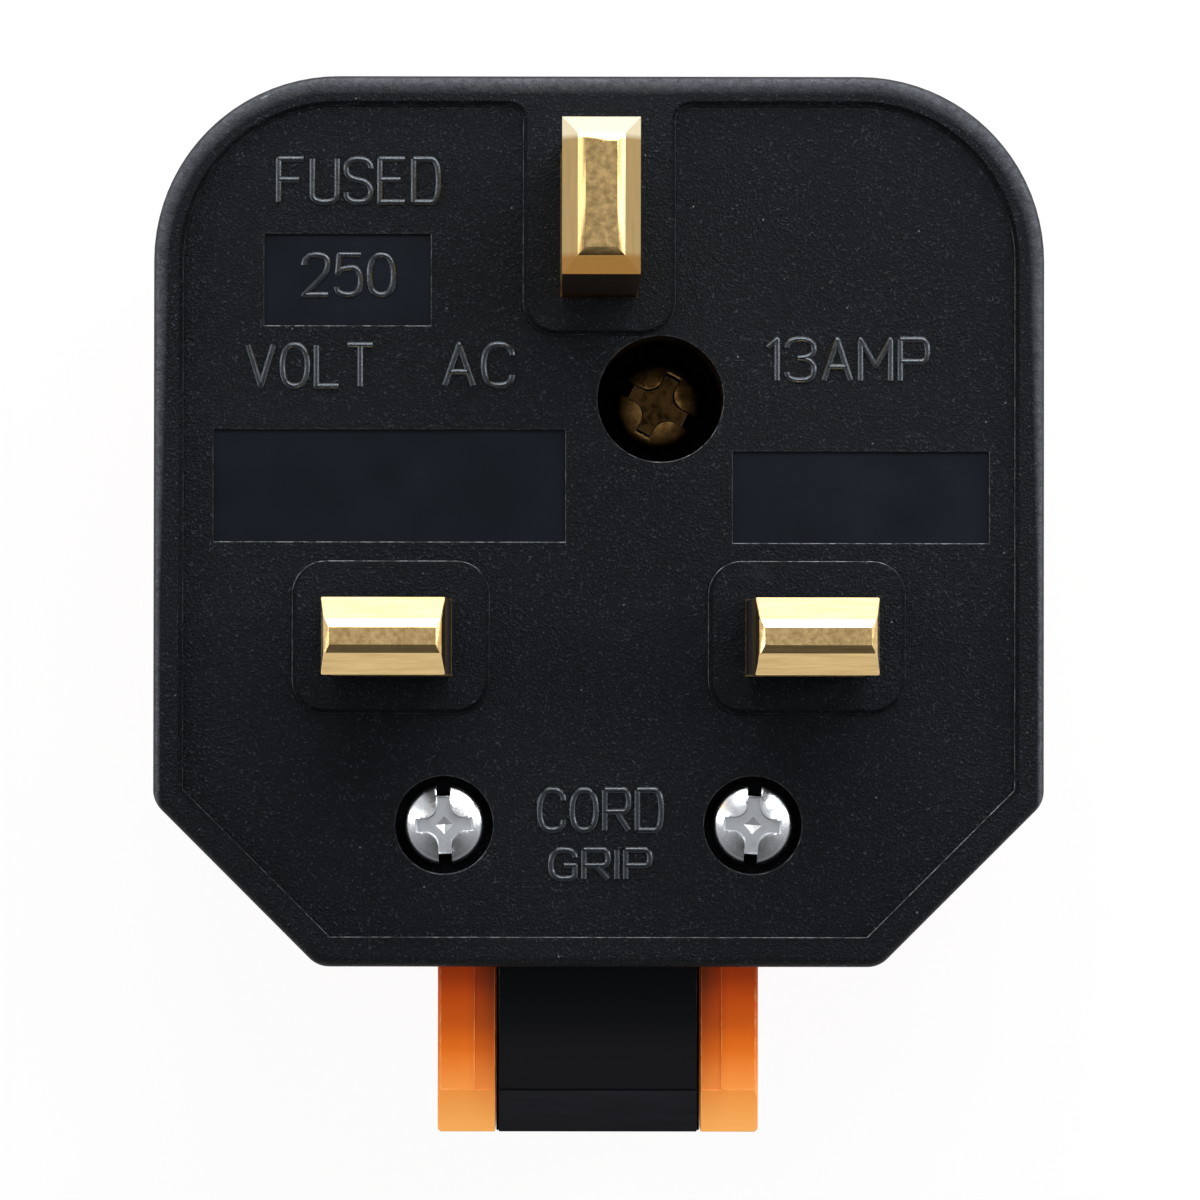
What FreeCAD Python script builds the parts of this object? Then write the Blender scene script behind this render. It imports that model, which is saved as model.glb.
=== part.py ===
import FreeCAD, Part
import math
import operator
import os
import types

import Sketcher

# Rewirable three pin mains plug, lying on the back of its cover with its pins up.
# X runs to the right and Y up towards the earth pin, both as seen from the pins; Z runs along the pins.
# The origin lies on the cover's back, below the middle of the line between the two lower pins.

# Driving sizes in millimetres, each with what it measures
SIZES = (
    ("plug_width", "47.6", "base, side to side"),
    ("top_reach", "30.0", "line of the lower pins up to the top edge"),
    ("bottom_reach", "17.6", "line of the lower pins down to the bottom edge"),
    ("corner_radius", "9.9", "upper corners of the outline"),
    ("corner_chamfer", "8.8", "lower corners of the outline, cut at 45 degrees"),
    ("chamfer_round", "1.5", "rounding where a chamfer meets a side"),
    ("base_depth", "7.5", "side of the base, front to back"),
    ("cover_depth", "19.0", "cover, front to back"),
    ("face_thickness", "3.0", "plate of the base that the pins pass through"),
    ("side_wall", "2.2", "side walls of base and cover"),
    ("edge_round", "0.6", "front edge of the base"),
    ("rim_width", "1.6", "raised rim round the face"),
    ("field_recess", "0.4", "face between the rim and the pin islands, below them"),
    ("field_edge", "0.25", "slope along rim and islands"),
    ("island_margin", "2.1", "island beyond its pin on each side"),
    ("island_round", "1.8", "corners of the islands"),
    ("island_root", "0.8", "inner corners where the earth island joins the rim"),
    ("panel_recess", "0.3", "smooth panels, below the face"),
    ("rating_panel_x", "-13.45", "middle of the small panel"),
    ("rating_panel_y", "19.1", "middle of the small panel"),
    ("rating_panel_width", "8.9", "small panel"),
    ("rating_panel_height", "4.9", "small panel"),
    ("left_panel_x", "-11.2", "middle of the long panel"),
    ("left_panel_y", "8.1", "middle of the long panel"),
    ("left_panel_width", "18.8", "long panel"),
    ("left_panel_height", "6.0", "long panel"),
    ("right_panel_x", "14.0", "middle of the right panel"),
    ("right_panel_y", "7.5", "middle of the right panel"),
    ("right_panel_width", "13.7", "right panel"),
    ("right_panel_height", "4.9", "right panel"),
    ("pin_spacing", "22.23", "between the middles of the lower pins"),
    ("earth_rise", "22.23", "earth pin's middle above the line of the lower pins"),
    ("blade_width", "6.35", "lower pins, across"),
    ("blade_thickness", "3.97", "lower pins, up; earth pin, across"),
    ("blade_reach", "17.7", "lower pins, out of the face"),
    ("earth_height", "7.95", "earth pin, up"),
    ("earth_reach", "22.73", "earth pin, out of the face"),
    ("pin_clearance", "0.1", "slots of the pins, each side"),
    ("tip_length", "1.3", "bevelled ends of the pins"),
    ("tip_flat", "1.4", "flat left at the lower pins' ends"),
    ("earth_tip_flat", "2.1", "flat left at the earth pin's end, across"),
    ("tip_side_bevel", "0.2", "short sides of the lower pins' ends"),
    ("earth_tip_bevel", "1.05", "upper and lower bevels of the earth pin's end"),
    ("tip_edge", "0.25", "bevelled ridges of the pins' ends"),
    ("sleeve_reach", "9.2", "insulating sleeves, out of the face"),
    ("sleeve_seat", "1.2", "insulating sleeves, into the face"),
    ("sleeve_wall", "0.45", "insulating sleeves"),
    ("neck_overlap", "0.2", "necks of the lower pins into their blades"),
    ("terminal_width", "7.0", "terminal blocks of earth and neutral"),
    ("terminal_overhang", "0.5", "terminal blocks beyond their pins"),
    ("terminal_height", "10.0", "terminal blocks, behind the face"),
    ("wire_drop", "4.6", "middle of the wire holes behind the plate"),
    ("wire_hole", "3.3", "wire holes, across"),
    ("terminal_screw_thread", "2.8", "terminal screws, across the thread"),
    ("terminal_screw_proud", "1.8", "terminal screws, out of their blocks"),
    ("earth_block_gap", "1.1", "earth terminal block off the top wall"),
    ("screw_slot", "0.6", "slots of the screws, across"),
    ("screw_slot_depth", "0.8", "slots of the screws"),
    ("thread_clearance", "0.02", "threads, each side"),
    ("pin_head_thickness", "2.5", "head of the live pin and foot of the live terminal"),
    ("live_block_length", "5.0", "block of the live terminal, up"),
    ("live_block_gap", "0.5", "block of the live terminal, off the fuse's end"),
    ("fuse_end_gap", "0.25", "fuse above the cord saddle"),
    ("fuse_length", "25.4", "cartridge fuse"),
    ("fuse_diameter", "6.35", "caps of the fuse"),
    ("fuse_cap_length", "5.5", "caps of the fuse"),
    ("fuse_cap_step", "0.25", "caps of the fuse beyond its barrel"),
    ("clip_gauge", "0.5", "sheet of the fuse clips"),
    ("clip_length", "4.6", "fuse clips, along the fuse"),
    ("clip_foot", "3.2", "fuse clips' flat foot, across"),
    ("clip_clearance", "0.05", "between a clip and the fuse"),
    ("clip_reach_angle", "35", "clips round the fuse past its middle, degrees"),
    ("well_x", "3.28", "cover screw"),
    ("well_y", "12.75", "cover screw"),
    ("well_diameter", "6.75", "well of the cover screw"),
    ("well_depth", "12.0", "well of the cover screw, from the face"),
    ("well_wall", "1.4", "tube of the well"),
    ("well_floor", "2.0", "bottom of the well"),
    ("cover_screw_head", "4.9", "cover screw, across the head"),
    ("cover_screw_head_height", "2.0", "cover screw"),
    ("cover_screw_thread", "3.0", "cover screw, across the thread"),
    ("screw_clearance", "0.2", "screws through plain holes, each side"),
    ("insert_width", "5.2", "square threaded insert"),
    ("insert_length", "6.0", "square threaded insert"),
    ("washer_diameter", "5.8", "retaining washer"),
    ("washer_thickness", "0.8", "retaining washer"),
    ("boss_diameter", "9.2", "boss of the cover round the insert"),
    ("grip_spacing", "16.5", "between the cord grip screws"),
    ("grip_drop", "10.03", "cord grip screws below the line of the lower pins"),
    ("grip_bore", "5.25", "counterbores of the cord grip screws"),
    ("grip_bore_depth", "1.6", "counterbores, from the face between the islands"),
    ("saddle_length", "7.2", "cord saddle, along the cord"),
    ("saddle_drop", "3.0", "cord saddle behind the plate"),
    ("ridge_span", "10.6", "ridges that bite the cord, across"),
    ("grip_ridge", "0.6", "ridges that bite the cord"),
    ("grip_pitch", "1.9", "between the ridges"),
    ("grip_tooth", "1.33", "ridges of the cord grip, along the cord"),
    ("cord_gap", "8.0", "between saddle and bar, for a cord"),
    ("bar_width", "6.8", "cord grip bar, along the cord"),
    ("bar_thickness", "3.5", "cord grip bar"),
    ("grip_screw_head", "4.3", "cord grip screws, across the head"),
    ("grip_screw_head_height", "1.6", "cord grip screws"),
    ("grip_screw_thread", "3.0", "cord grip screws, across the thread"),
    ("grip_screw_length", "16.4", "cord grip screws under the head"),
    ("nut_width", "5.5", "square nuts"),
    ("nut_thickness", "2.0", "square nuts"),
    ("tab_length", "6.0", "locating tabs of the base, along the wall"),
    ("tab_thickness", "1.0", "locating tabs of the base"),
    ("tab_depth", "1.4", "locating tabs of the base, into the cover"),
    ("tab_clearance", "0.1", "round the locating tabs"),
    ("tab_spread", "7.0", "locating tabs off the middle of their side"),
    ("tongue_width", "10.7", "cord tongue of the base"),
    ("tongue_thickness", "2.7", "cord tongue of the base"),
    ("tongue_gap", "0.2", "between tongue and collar, each side"),
    ("tongue_foot", "0.9", "wider foot of the tongue that shuts the gap, up from the joint"),
    ("foot_clearance", "0.05", "between the tongue's foot and the collar, each side"),
    ("collar_reach", "9.1", "collar and tongue beyond the bottom edge"),
    ("collar_width", "17.3", "collar, across"),
    ("collar_low", "4.4", "collar above the cover's back"),
    ("collar_round", "2.6", "lower edges of the collar"),
    ("collar_edge", "0.15", "upper edges of the collar"),
    ("ear_root", "1.0", "ears of the collar, down into its root"),
    ("collar_gap", "0.1", "collar off the base's bottom side"),
    ("crease_reach", "2.3", "bevelled end of collar and tongue, back from the end"),
    ("crease_drop", "0.55", "bevelled end of collar and tongue, down at the end"),
    ("rebate_width", "1.1", "lowered strip along the collar's inner edges"),
    ("rebate_depth", "0.15", "lowered strip along the collar's inner edges"),
    ("channel_low", "7.6", "bottom of the cord channel above the cover's back"),
    ("channel_flat", "0.22", "flat left at the bottom of the cord channel"),
    ("cut_overrun", "1.0", "how far cuts run past the faces that they open"),
    ("cover_step", "0.15", "cover inside the base's outline at the joint"),
    ("cover_draft", "0.75", "cover inside the base's outline at the back"),
    ("back_round", "3.0", "back edge of the cover"),
    ("back_corner", "3.6", "lower corners of the cover's back"),
    ("ridge_length", "20.0", "finger ridges on the cover's sides"),
    ("ridge_width", "1.4", "finger ridges"),
    ("ridge_height", "0.45", "finger ridges"),
    ("ridge_pitch", "2.8", "between the finger ridges"),
    ("ridge_low", "5.2", "lowest finger ridge above the cover's back"),
)

doc = FreeCAD.newDocument("plug")
sheet = doc.addObject("Spreadsheet::Sheet", "Sizes")
for row, (alias, number, meaning) in enumerate(SIZES, 1):
    sheet.set(f"A{row}", meaning)
    sheet.set(f"B{row}", number)
    sheet.setAlias(f"B{row}", alias)
doc.recompute()


class Size:
    """A length as the expression that works it out from the sheet, with its value now."""

    def __init__(self, text, value):
        self.text = text
        self.value = value

    def __add__(self, other):
        return combined(self, "+", other)

    def __radd__(self, other):
        return combined(other, "+", self)

    def __sub__(self, other):
        return combined(self, "-", other)

    def __rsub__(self, other):
        return combined(other, "-", self)

    def __mul__(self, other):
        return combined(self, "*", other)

    def __rmul__(self, other):
        return combined(other, "*", self)

    def __truediv__(self, other):
        return combined(self, "/", other)

    def __neg__(self):
        return combined(0, "-", self)


SIGNS = {"+": operator.add, "-": operator.sub, "*": operator.mul, "/": operator.truediv}


def as_size(length):
    """Takes a plain number for a size that never changes."""
    if isinstance(length, Size):
        return length
    return Size(repr(float(length)), float(length))


def combined(left, sign, right):
    left = as_size(left)
    right = as_size(right)
    return Size(f"({left.text} {sign} {right.text})", SIGNS[sign](left.value, right.value))


s = types.SimpleNamespace(
    **{alias: Size(f"Sizes.{alias}", float(number)) for alias, number, meaning in SIZES}
)

# Levels along Z
joint = s.cover_depth
face = s.cover_depth + s.base_depth
field = face - s.field_recess
plate = face - s.face_thickness
well_seat = face - s.well_depth
well_bottom = well_seat - s.well_floor
grip_seat = field - s.grip_bore_depth
saddle = plate - s.saddle_drop
bar_top = saddle - s.cord_gap
bar_low = bar_top - s.bar_thickness
head_low = plate - s.pin_head_thickness
block_low = plate - s.terminal_height
wire_level = plate - s.wire_drop
collar_top = joint + s.tongue_thickness
insert_top = well_bottom - s.washer_thickness
insert_low = insert_top - s.insert_length

# Places across the face
half_spacing = s.pin_spacing / 2
grip_half = s.grip_spacing / 2
collar_end = -(s.bottom_reach + s.collar_reach)
channel_half = s.tongue_width / 2 + s.tongue_gap
fuse_x = -half_spacing
fuse_low = -(s.grip_drop - s.saddle_length / 2 - s.fuse_end_gap)
fuse_high = fuse_low + s.fuse_length
fuse_lower_cap = fuse_low + s.fuse_cap_length / 2
fuse_upper_cap = fuse_high - s.fuse_cap_length / 2
fuse_level = head_low - s.clip_gauge - s.clip_clearance - s.fuse_diameter / 2
clip_inner = s.fuse_diameter / 2 + s.clip_clearance
clip_outer = clip_inner + s.clip_gauge
live_block_low = fuse_high + s.live_block_gap
live_block_y = live_block_low + s.live_block_length / 2
earth_block_high = s.top_reach - s.side_wall - s.earth_block_gap
earth_block_low = s.earth_rise - s.earth_height / 2 - s.terminal_overhang
earth_block_y = (earth_block_high + earth_block_low) / 2


def bind(thing, name, length):
    """Binds one property to the sheet."""
    thing.setExpression(name, as_size(length).text)


def new_body(name):
    body = doc.addObject("PartDesign::Body", name)
    body.Label = name
    return body


def sketch_on(body, name, role, offset=0):
    """A sketch on one of the body's own origin planes, moved along the plane's normal."""
    sketch = body.newObject("Sketcher::SketchObject", name)
    plane = next(p for p in body.Origin.OriginFeatures if p.Role == role)
    sketch.AttachmentSupport = [(plane, "")]
    sketch.MapMode = "FlatFace"
    bind(sketch, "AttachmentOffset.Base.z", offset)
    return sketch


def dimension(sketch, length, kind, *where):
    length = as_size(length)
    index = sketch.addConstraint(Sketcher.Constraint(kind, *where, length.value))
    sketch.setExpression(f"Constraints[{index}]", length.text)


def place_point(sketch, shape, spot, x, y):
    """Dimensions a point of a sketch from the sketch's origin."""
    dimension(sketch, x, "DistanceX", -1, 1, shape, spot)
    dimension(sketch, y, "DistanceY", -1, 1, shape, spot)


def draw_circle(sketch, x, y, diameter):
    x = as_size(x)
    y = as_size(y)
    radius = diameter / 2
    middle = FreeCAD.Vector(x.value, y.value, 0)
    ring = sketch.addGeometry(Part.Circle(middle, FreeCAD.Vector(0, 0, 1), radius.value))
    place_point(sketch, ring, 3, x, y)
    dimension(sketch, radius, "Radius", ring)


def draw_outline(sketch, corners):
    """A closed outline through corners given as (x, y, radius), the radius None where it is sharp."""
    corners = [(as_size(x), as_size(y), radius) for x, y, radius in corners]
    points = [FreeCAD.Vector(x.value, y.value, 0) for x, y, radius in corners]
    count = len(corners)
    reached = []
    for i, (x, y, radius) in enumerate(corners):
        back = (points[i - 1] - points[i]).normalize()
        on = (points[(i + 1) % count] - points[i]).normalize()
        if radius is None:
            reached.append((points[i], points[i], None, None))
            continue
        half = back.getAngle(on) / 2
        run = radius.value / math.tan(half)
        middle = points[i] + (back + on).normalize() * (radius.value / math.sin(half))
        turn = back.cross(on).z < 0
        reached.append((points[i] + back * run, points[i] + on * run, middle, turn))
    lines = []
    for i in range(count):
        start = reached[i][1]
        end = reached[(i + 1) % count][0]
        lines.append(sketch.addGeometry(Part.LineSegment(start, end)))
    for i, (x, y, radius) in enumerate(corners):
        before = lines[i - 1]
        after = lines[i]
        if radius is None:
            sketch.addConstraint(Sketcher.Constraint("Coincident", before, 2, after, 1))
            place_point(sketch, after, 1, x, y)
            continue
        entry, leave, middle, turn = reached[i]
        ends = (entry, leave) if turn else (leave, entry)
        angles = [math.atan2(p.y - middle.y, p.x - middle.x) for p in ends]
        if angles[1] < angles[0]:
            angles[1] += 2 * math.pi
        circle = Part.Circle(middle, FreeCAD.Vector(0, 0, 1), radius.value)
        arc = sketch.addGeometry(Part.ArcOfCircle(circle, *angles))
        corner = sketch.addGeometry(Part.Point(points[i]), True)
        first, second = (1, 2) if turn else (2, 1)
        sketch.addConstraint(Sketcher.Constraint("Tangent", before, 2, arc, first))
        sketch.addConstraint(Sketcher.Constraint("Tangent", arc, second, after, 1))
        sketch.addConstraint(Sketcher.Constraint("PointOnObject", corner, 1, before))
        sketch.addConstraint(Sketcher.Constraint("PointOnObject", corner, 1, after))
        dimension(sketch, radius, "Radius", arc)
        place_point(sketch, corner, 1, x, y)


def draw_box(sketch, x, y, width, height, radius=None):
    """A rectangle about its middle."""
    left = x - width / 2
    right = x + width / 2
    low = y - height / 2
    high = y + height / 2
    draw_outline(
        sketch,
        [(left, high, radius), (right, high, radius), (right, low, radius), (left, low, radius)],
    )


def extrude(body, kind, name, sketch, length, backwards=False):
    """A Pad along the sketch's normal or a Pocket against it, or the other way round."""
    feature = body.newObject(f"PartDesign::{kind}", name)
    feature.Profile = sketch
    feature.Reversed = backwards
    bind(feature, "Length", length)
    return feature


def loft(body, kind, name, first, last):
    feature = body.newObject(f"PartDesign::{kind}", name)
    feature.Profile = first
    feature.Sections = [last]
    feature.Ruled = True
    return feature


def soften(body, name, radius, wanted, kind="Fillet"):
    """Rounds the edges of the body as it stands for which wanted(edge) is true."""
    doc.recompute()
    base = body.Tip
    names = [f"Edge{i}" for i, edge in enumerate(base.Shape.Edges, 1) if wanted(edge)]
    if not names:
        raise RuntimeError(f"{name} found no edges")
    feature = body.newObject(f"PartDesign::{kind}", name)
    feature.Base = (base, names)
    bind(feature, "Radius" if kind == "Fillet" else "Size", radius)
    return feature


def flat_at(level):
    """Picks edges that lie whole in one level."""

    def wanted(edge):
        box = edge.BoundBox
        return abs(box.ZMin - level.value) < 1e-4 and abs(box.ZMax - level.value) < 1e-4

    return wanted


def plug_outline(inset, low_round):
    """Corners of the plug's outline, drawn in from the base's own by inset."""
    half = s.plug_width / 2 - inset
    top = s.top_reach - inset
    low = inset - s.bottom_reach
    chamfer = s.corner_chamfer - inset * (2 - math.sqrt(2))
    radius = s.corner_radius - inset
    return [
        (-half, top, radius),
        (half, top, radius),
        (half, low + chamfer, low_round),
        (half - chamfer, low, low_round),
        (chamfer - half, low, low_round),
        (-half, low + chamfer, low_round),
    ]


# Base: moulded tray that carries the pins
base = new_body("base")
sketch = sketch_on(base, "base_outline", "XY_Plane", joint)
draw_outline(sketch, plug_outline(as_size(0), s.chamfer_round))
block = extrude(base, "Pad", "base_block", sketch, s.base_depth)

sketch = sketch_on(base, "base_hollow_outline", "XY_Plane", joint)
draw_outline(sketch, plug_outline(s.side_wall, None))
extrude(base, "Pocket", "base_hollow", sketch, s.base_depth - s.face_thickness, True)

# Field between rim and islands; the earth island joins the rim at the top
sketch = sketch_on(base, "field_outline", "XY_Plane", face)
field_corners = plug_outline(s.rim_width, None)
field_top = s.top_reach - s.rim_width
earth_island = s.blade_thickness / 2 + s.island_margin
earth_island_low = s.earth_rise - s.earth_height / 2 - s.island_margin
notch = [
    (-earth_island, field_top, s.island_root),
    (-earth_island, earth_island_low, s.island_round),
    (earth_island, earth_island_low, s.island_round),
    (earth_island, field_top, s.island_root),
]
draw_outline(sketch, field_corners[:1] + notch + field_corners[1:])
for x in (-half_spacing, half_spacing):
    draw_box(
        sketch,
        x,
        as_size(0),
        s.blade_width + 2 * s.island_margin,
        s.blade_thickness + 2 * s.island_margin,
        s.island_round,
    )
extrude(base, "Pocket", "field_pocket", sketch, s.field_recess)
doc.recompute()
rim_edges = [edge.CenterOfMass for edge in block.Shape.Edges if flat_at(face)(edge)]


def on_rim(edge):
    return flat_at(face)(edge) and any(edge.CenterOfMass.distanceToPoint(p) < 1e-4 for p in rim_edges)


soften(base, "rim_edge", s.edge_round, on_rim)


def along_field(edge):
    if not flat_at(face)(edge):
        return False
    box = edge.BoundBox
    reach = s.plug_width.value / 2 - s.rim_width.value + 1e-3
    inside = box.XMin > -reach and box.XMax < reach
    return inside and box.YMax < s.top_reach.value - s.rim_width.value + 1e-3 and (
        box.YMin > s.rim_width.value - s.bottom_reach.value - 1e-3
    )


soften(base, "field_slope", s.field_edge, along_field, "Chamfer")

# Smooth panels
sketch = sketch_on(base, "panel_outlines", "XY_Plane", field)
draw_box(sketch, s.rating_panel_x, s.rating_panel_y, s.rating_panel_width, s.rating_panel_height)
draw_box(sketch, s.left_panel_x, s.left_panel_y, s.left_panel_width, s.left_panel_height)
draw_box(sketch, s.right_panel_x, s.right_panel_y, s.right_panel_width, s.right_panel_height)
extrude(base, "Pocket", "panels", sketch, s.panel_recess)

# Tube of the cover screw's well and the cord saddle with its screws
sketch = sketch_on(base, "well_tube_outline", "XY_Plane", well_bottom)
draw_circle(sketch, s.well_x, s.well_y, s.well_diameter + 2 * s.well_wall)
extrude(base, "Pad", "well_tube", sketch, plate - well_bottom)

sketch = sketch_on(base, "saddle_outline", "XY_Plane", saddle)
draw_box(sketch, as_size(0), -s.grip_drop, s.grip_spacing + s.saddle_length, s.saddle_length)
extrude(base, "Pad", "cord_saddle", sketch, s.saddle_drop)


def draw_ridges(sketch, level, rise):
    """Three teeth across the cord, as a side view in the YZ plane."""
    for step in (-1, 0, 1):
        y = step * s.grip_pitch - s.grip_drop
        half = s.grip_tooth / 2
        draw_outline(sketch, [(y - half, level, None), (y + half, level, None), (y, level + rise, None)])


sketch = sketch_on(base, "saddle_ridge_outlines", "YZ_Plane")
draw_ridges(sketch, saddle, -s.grip_ridge)
ridges = extrude(base, "Pad", "saddle_ridges", sketch, s.ridge_span)
ridges.Midplane = True

# Cord tongue, closing the collar of the cover
sketch = sketch_on(base, "tongue_outline", "YZ_Plane")
draw_outline(
    sketch,
    [
        (s.side_wall / 2 - s.bottom_reach, joint, None),
        (collar_end, joint, None),
        (collar_end, collar_top - s.crease_drop, None),
        (collar_end + s.crease_reach, collar_top, None),
        (s.side_wall / 2 - s.bottom_reach, collar_top, None),
    ],
)
tongue = extrude(base, "Pad", "tongue", sketch, s.tongue_width)
tongue.Midplane = True
sketch = sketch_on(base, "tongue_foot_outline", "XZ_Plane", s.bottom_reach - s.side_wall / 2)
draw_box(sketch, as_size(0), joint + s.tongue_foot / 2, 2 * (channel_half - s.foot_clearance), s.tongue_foot)
extrude(base, "Pad", "tongue_foot", sketch, s.collar_reach + s.side_wall / 2)

# Locating tabs on the inner half of the walls
tab_side = s.plug_width / 2 - s.side_wall + s.tab_thickness / 2
tab_top = s.top_reach - s.side_wall + s.tab_thickness / 2
side_middle = (s.top_reach - s.bottom_reach) / 2


def draw_tabs(sketch, spare):
    """Two tabs on each side wall and two on the top wall, grown all round by spare."""
    thickness = s.tab_thickness + 2 * spare
    length = s.tab_length + 2 * spare
    for x in (-tab_side, tab_side):
        for y in (side_middle - s.tab_spread, side_middle + s.tab_spread):
            draw_box(sketch, x, y, thickness, length)
    for x in (-s.tab_spread, s.tab_spread):
        draw_box(sketch, x, tab_top, length, thickness)


sketch = sketch_on(base, "tab_outlines", "XY_Plane", joint - s.tab_depth)
draw_tabs(sketch, as_size(0))
extrude(base, "Pad", "tabs", sketch, s.tab_depth)

# Holes through the face
sketch = sketch_on(base, "pin_slot_outlines", "XY_Plane", face)
for x in (-half_spacing, half_spacing):
    draw_box(
        sketch,
        x,
        as_size(0),
        s.blade_width + 2 * s.pin_clearance,
        s.blade_thickness + 2 * s.pin_clearance,
    )
draw_box(
    sketch,
    as_size(0),
    s.earth_rise,
    s.blade_thickness + 2 * s.pin_clearance,
    s.earth_height + 2 * s.pin_clearance,
)
extrude(base, "Pocket", "pin_slots", sketch, s.face_thickness)

sketch = sketch_on(base, "well_outline", "XY_Plane", face)
draw_circle(sketch, s.well_x, s.well_y, s.well_diameter)
extrude(base, "Pocket", "well", sketch, s.well_depth)

sketch = sketch_on(base, "well_hole_outline", "XY_Plane", well_seat)
draw_circle(sketch, s.well_x, s.well_y, s.cover_screw_thread + 2 * s.screw_clearance)
extrude(base, "Pocket", "well_hole", sketch, s.well_floor)

sketch = sketch_on(base, "grip_bore_outlines", "XY_Plane", field)
for x in (-grip_half, grip_half):
    draw_circle(sketch, x, -s.grip_drop, s.grip_bore)
extrude(base, "Pocket", "grip_bores", sketch, s.grip_bore_depth)

sketch = sketch_on(base, "grip_hole_outlines", "XY_Plane", grip_seat)
for x in (-grip_half, grip_half):
    draw_circle(sketch, x, -s.grip_drop, s.grip_screw_thread + 2 * s.screw_clearance)
extrude(base, "Pocket", "grip_holes", sketch, grip_seat - saddle)

# Cover: moulded hood with the cord collar
cover = new_body("cover")
sketch = sketch_on(cover, "cover_outline", "XY_Plane")
draw_outline(sketch, plug_outline(s.cover_draft, s.back_corner))
cover_block = extrude(cover, "Pad", "cover_block", sketch, s.cover_depth)
doc.recompute()
sides = [f"Face{i}" for i, side in enumerate(cover_block.Shape.Faces, 1) if abs(side.normalAt(0, 0).z) < 0.5]
origin_planes = {p.Role: p for p in cover.Origin.OriginFeatures}
slope = (s.cover_draft - s.cover_step) / s.cover_depth
draft = cover.newObject("PartDesign::Draft", "cover_draft")
draft.Base = (cover_block, sides)
draft.NeutralPlane = (origin_planes["XY_Plane"], [""])
draft.Reversed = True
bind(draft, "Angle", Size(f"atan({slope.text})", math.degrees(math.atan(slope.value))))
soften(cover, "cover_back_edge", s.back_round, flat_at(as_size(0)))

sketch = sketch_on(cover, "cover_hollow_outline", "XY_Plane", joint)
draw_outline(sketch, plug_outline(s.side_wall, None))
extrude(cover, "Pocket", "cover_hollow", sketch, s.cover_depth - s.side_wall)

# Collar: a root in the cover's side and a U-shaped hood beyond the base
sketch = sketch_on(cover, "collar_root_outline", "XZ_Plane", s.bottom_reach - s.cover_draft - s.side_wall / 2)
half = s.collar_width / 2
draw_outline(
    sketch,
    [
        (-half, joint, None),
        (half, joint, None),
        (half, s.collar_low, s.collar_round),
        (-half, s.collar_low, s.collar_round),
    ],
)
extrude(cover, "Pad", "collar_root", sketch, s.collar_reach + s.cover_draft + s.side_wall / 2)

sketch = sketch_on(cover, "collar_ear_outline", "XZ_Plane", s.bottom_reach + s.collar_gap)
ear_height = s.tongue_thickness + s.ear_root
draw_box(sketch, as_size(0), collar_top - ear_height / 2, s.collar_width, ear_height)
extrude(cover, "Pad", "collar_ears", sketch, s.collar_reach - s.collar_gap)


def outside_collar(edge):
    box = edge.BoundBox
    at_end = abs(box.YMin - collar_end.value) < 1e-4 and abs(box.YMax - collar_end.value) < 1e-4
    on_side = abs(abs(box.XMin) - s.collar_width.value / 2) < 1e-4 and abs(box.XMax - box.XMin) < 1e-4
    along_top = on_side and flat_at(collar_top)(edge) and box.YLength > s.collar_reach.value / 2
    return at_end or along_top


soften(cover, "collar_edges", s.collar_edge, outside_collar, "Chamfer")

channel_round = channel_half - s.channel_flat / 2
channel_start = s.bottom_reach - s.cover_draft - 2 * s.side_wall
sketch = sketch_on(cover, "channel_outline", "XZ_Plane", channel_start)
draw_outline(
    sketch,
    [
        (-channel_half, collar_top + s.cut_overrun, None),
        (channel_half, collar_top + s.cut_overrun, None),
        (channel_half, s.channel_low, channel_round),
        (-channel_half, s.channel_low, channel_round),
    ],
)
extrude(cover, "Pocket", "channel", sketch, s.cut_overrun - collar_end - channel_start, True)

# Lowered strips along the inner edges and the bevelled end
sketch = sketch_on(cover, "rebate_outlines", "XY_Plane", collar_top)
for side in (-1, 1):
    draw_box(
        sketch,
        side * (channel_half + s.rebate_width / 2),
        (collar_end + s.crease_reach - s.bottom_reach) / 2,
        s.rebate_width,
        s.collar_reach - s.crease_reach,
    )
extrude(cover, "Pocket", "rebates", sketch, s.rebate_depth)

sketch = sketch_on(cover, "collar_bevel_outline", "YZ_Plane")
draw_outline(
    sketch,
    [
        (collar_end, collar_top - s.crease_drop, None),
        (collar_end + s.crease_reach, collar_top, None),
        (collar_end, collar_top + s.cut_overrun, None),
    ],
)
bevel = extrude(cover, "Pocket", "collar_bevel", sketch, s.collar_width + s.cut_overrun)
bevel.Midplane = True

# Notches for the base's tabs
sketch = sketch_on(cover, "tab_notch_outlines", "XY_Plane", joint)
draw_tabs(sketch, s.tab_clearance)
extrude(cover, "Pocket", "tab_notches", sketch, s.tab_depth + s.tab_clearance)

# Boss that holds the insert of the cover screw
sketch = sketch_on(cover, "boss_outline", "XY_Plane", s.side_wall / 2)
draw_circle(sketch, s.well_x, s.well_y, s.boss_diameter)
extrude(cover, "Pad", "boss", sketch, insert_top - s.side_wall / 2)

sketch = sketch_on(cover, "insert_seat_outline", "XY_Plane", insert_top)
draw_box(sketch, s.well_x, s.well_y, s.insert_width, s.insert_width)
extrude(cover, "Pocket", "insert_seat", sketch, s.insert_length)

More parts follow.
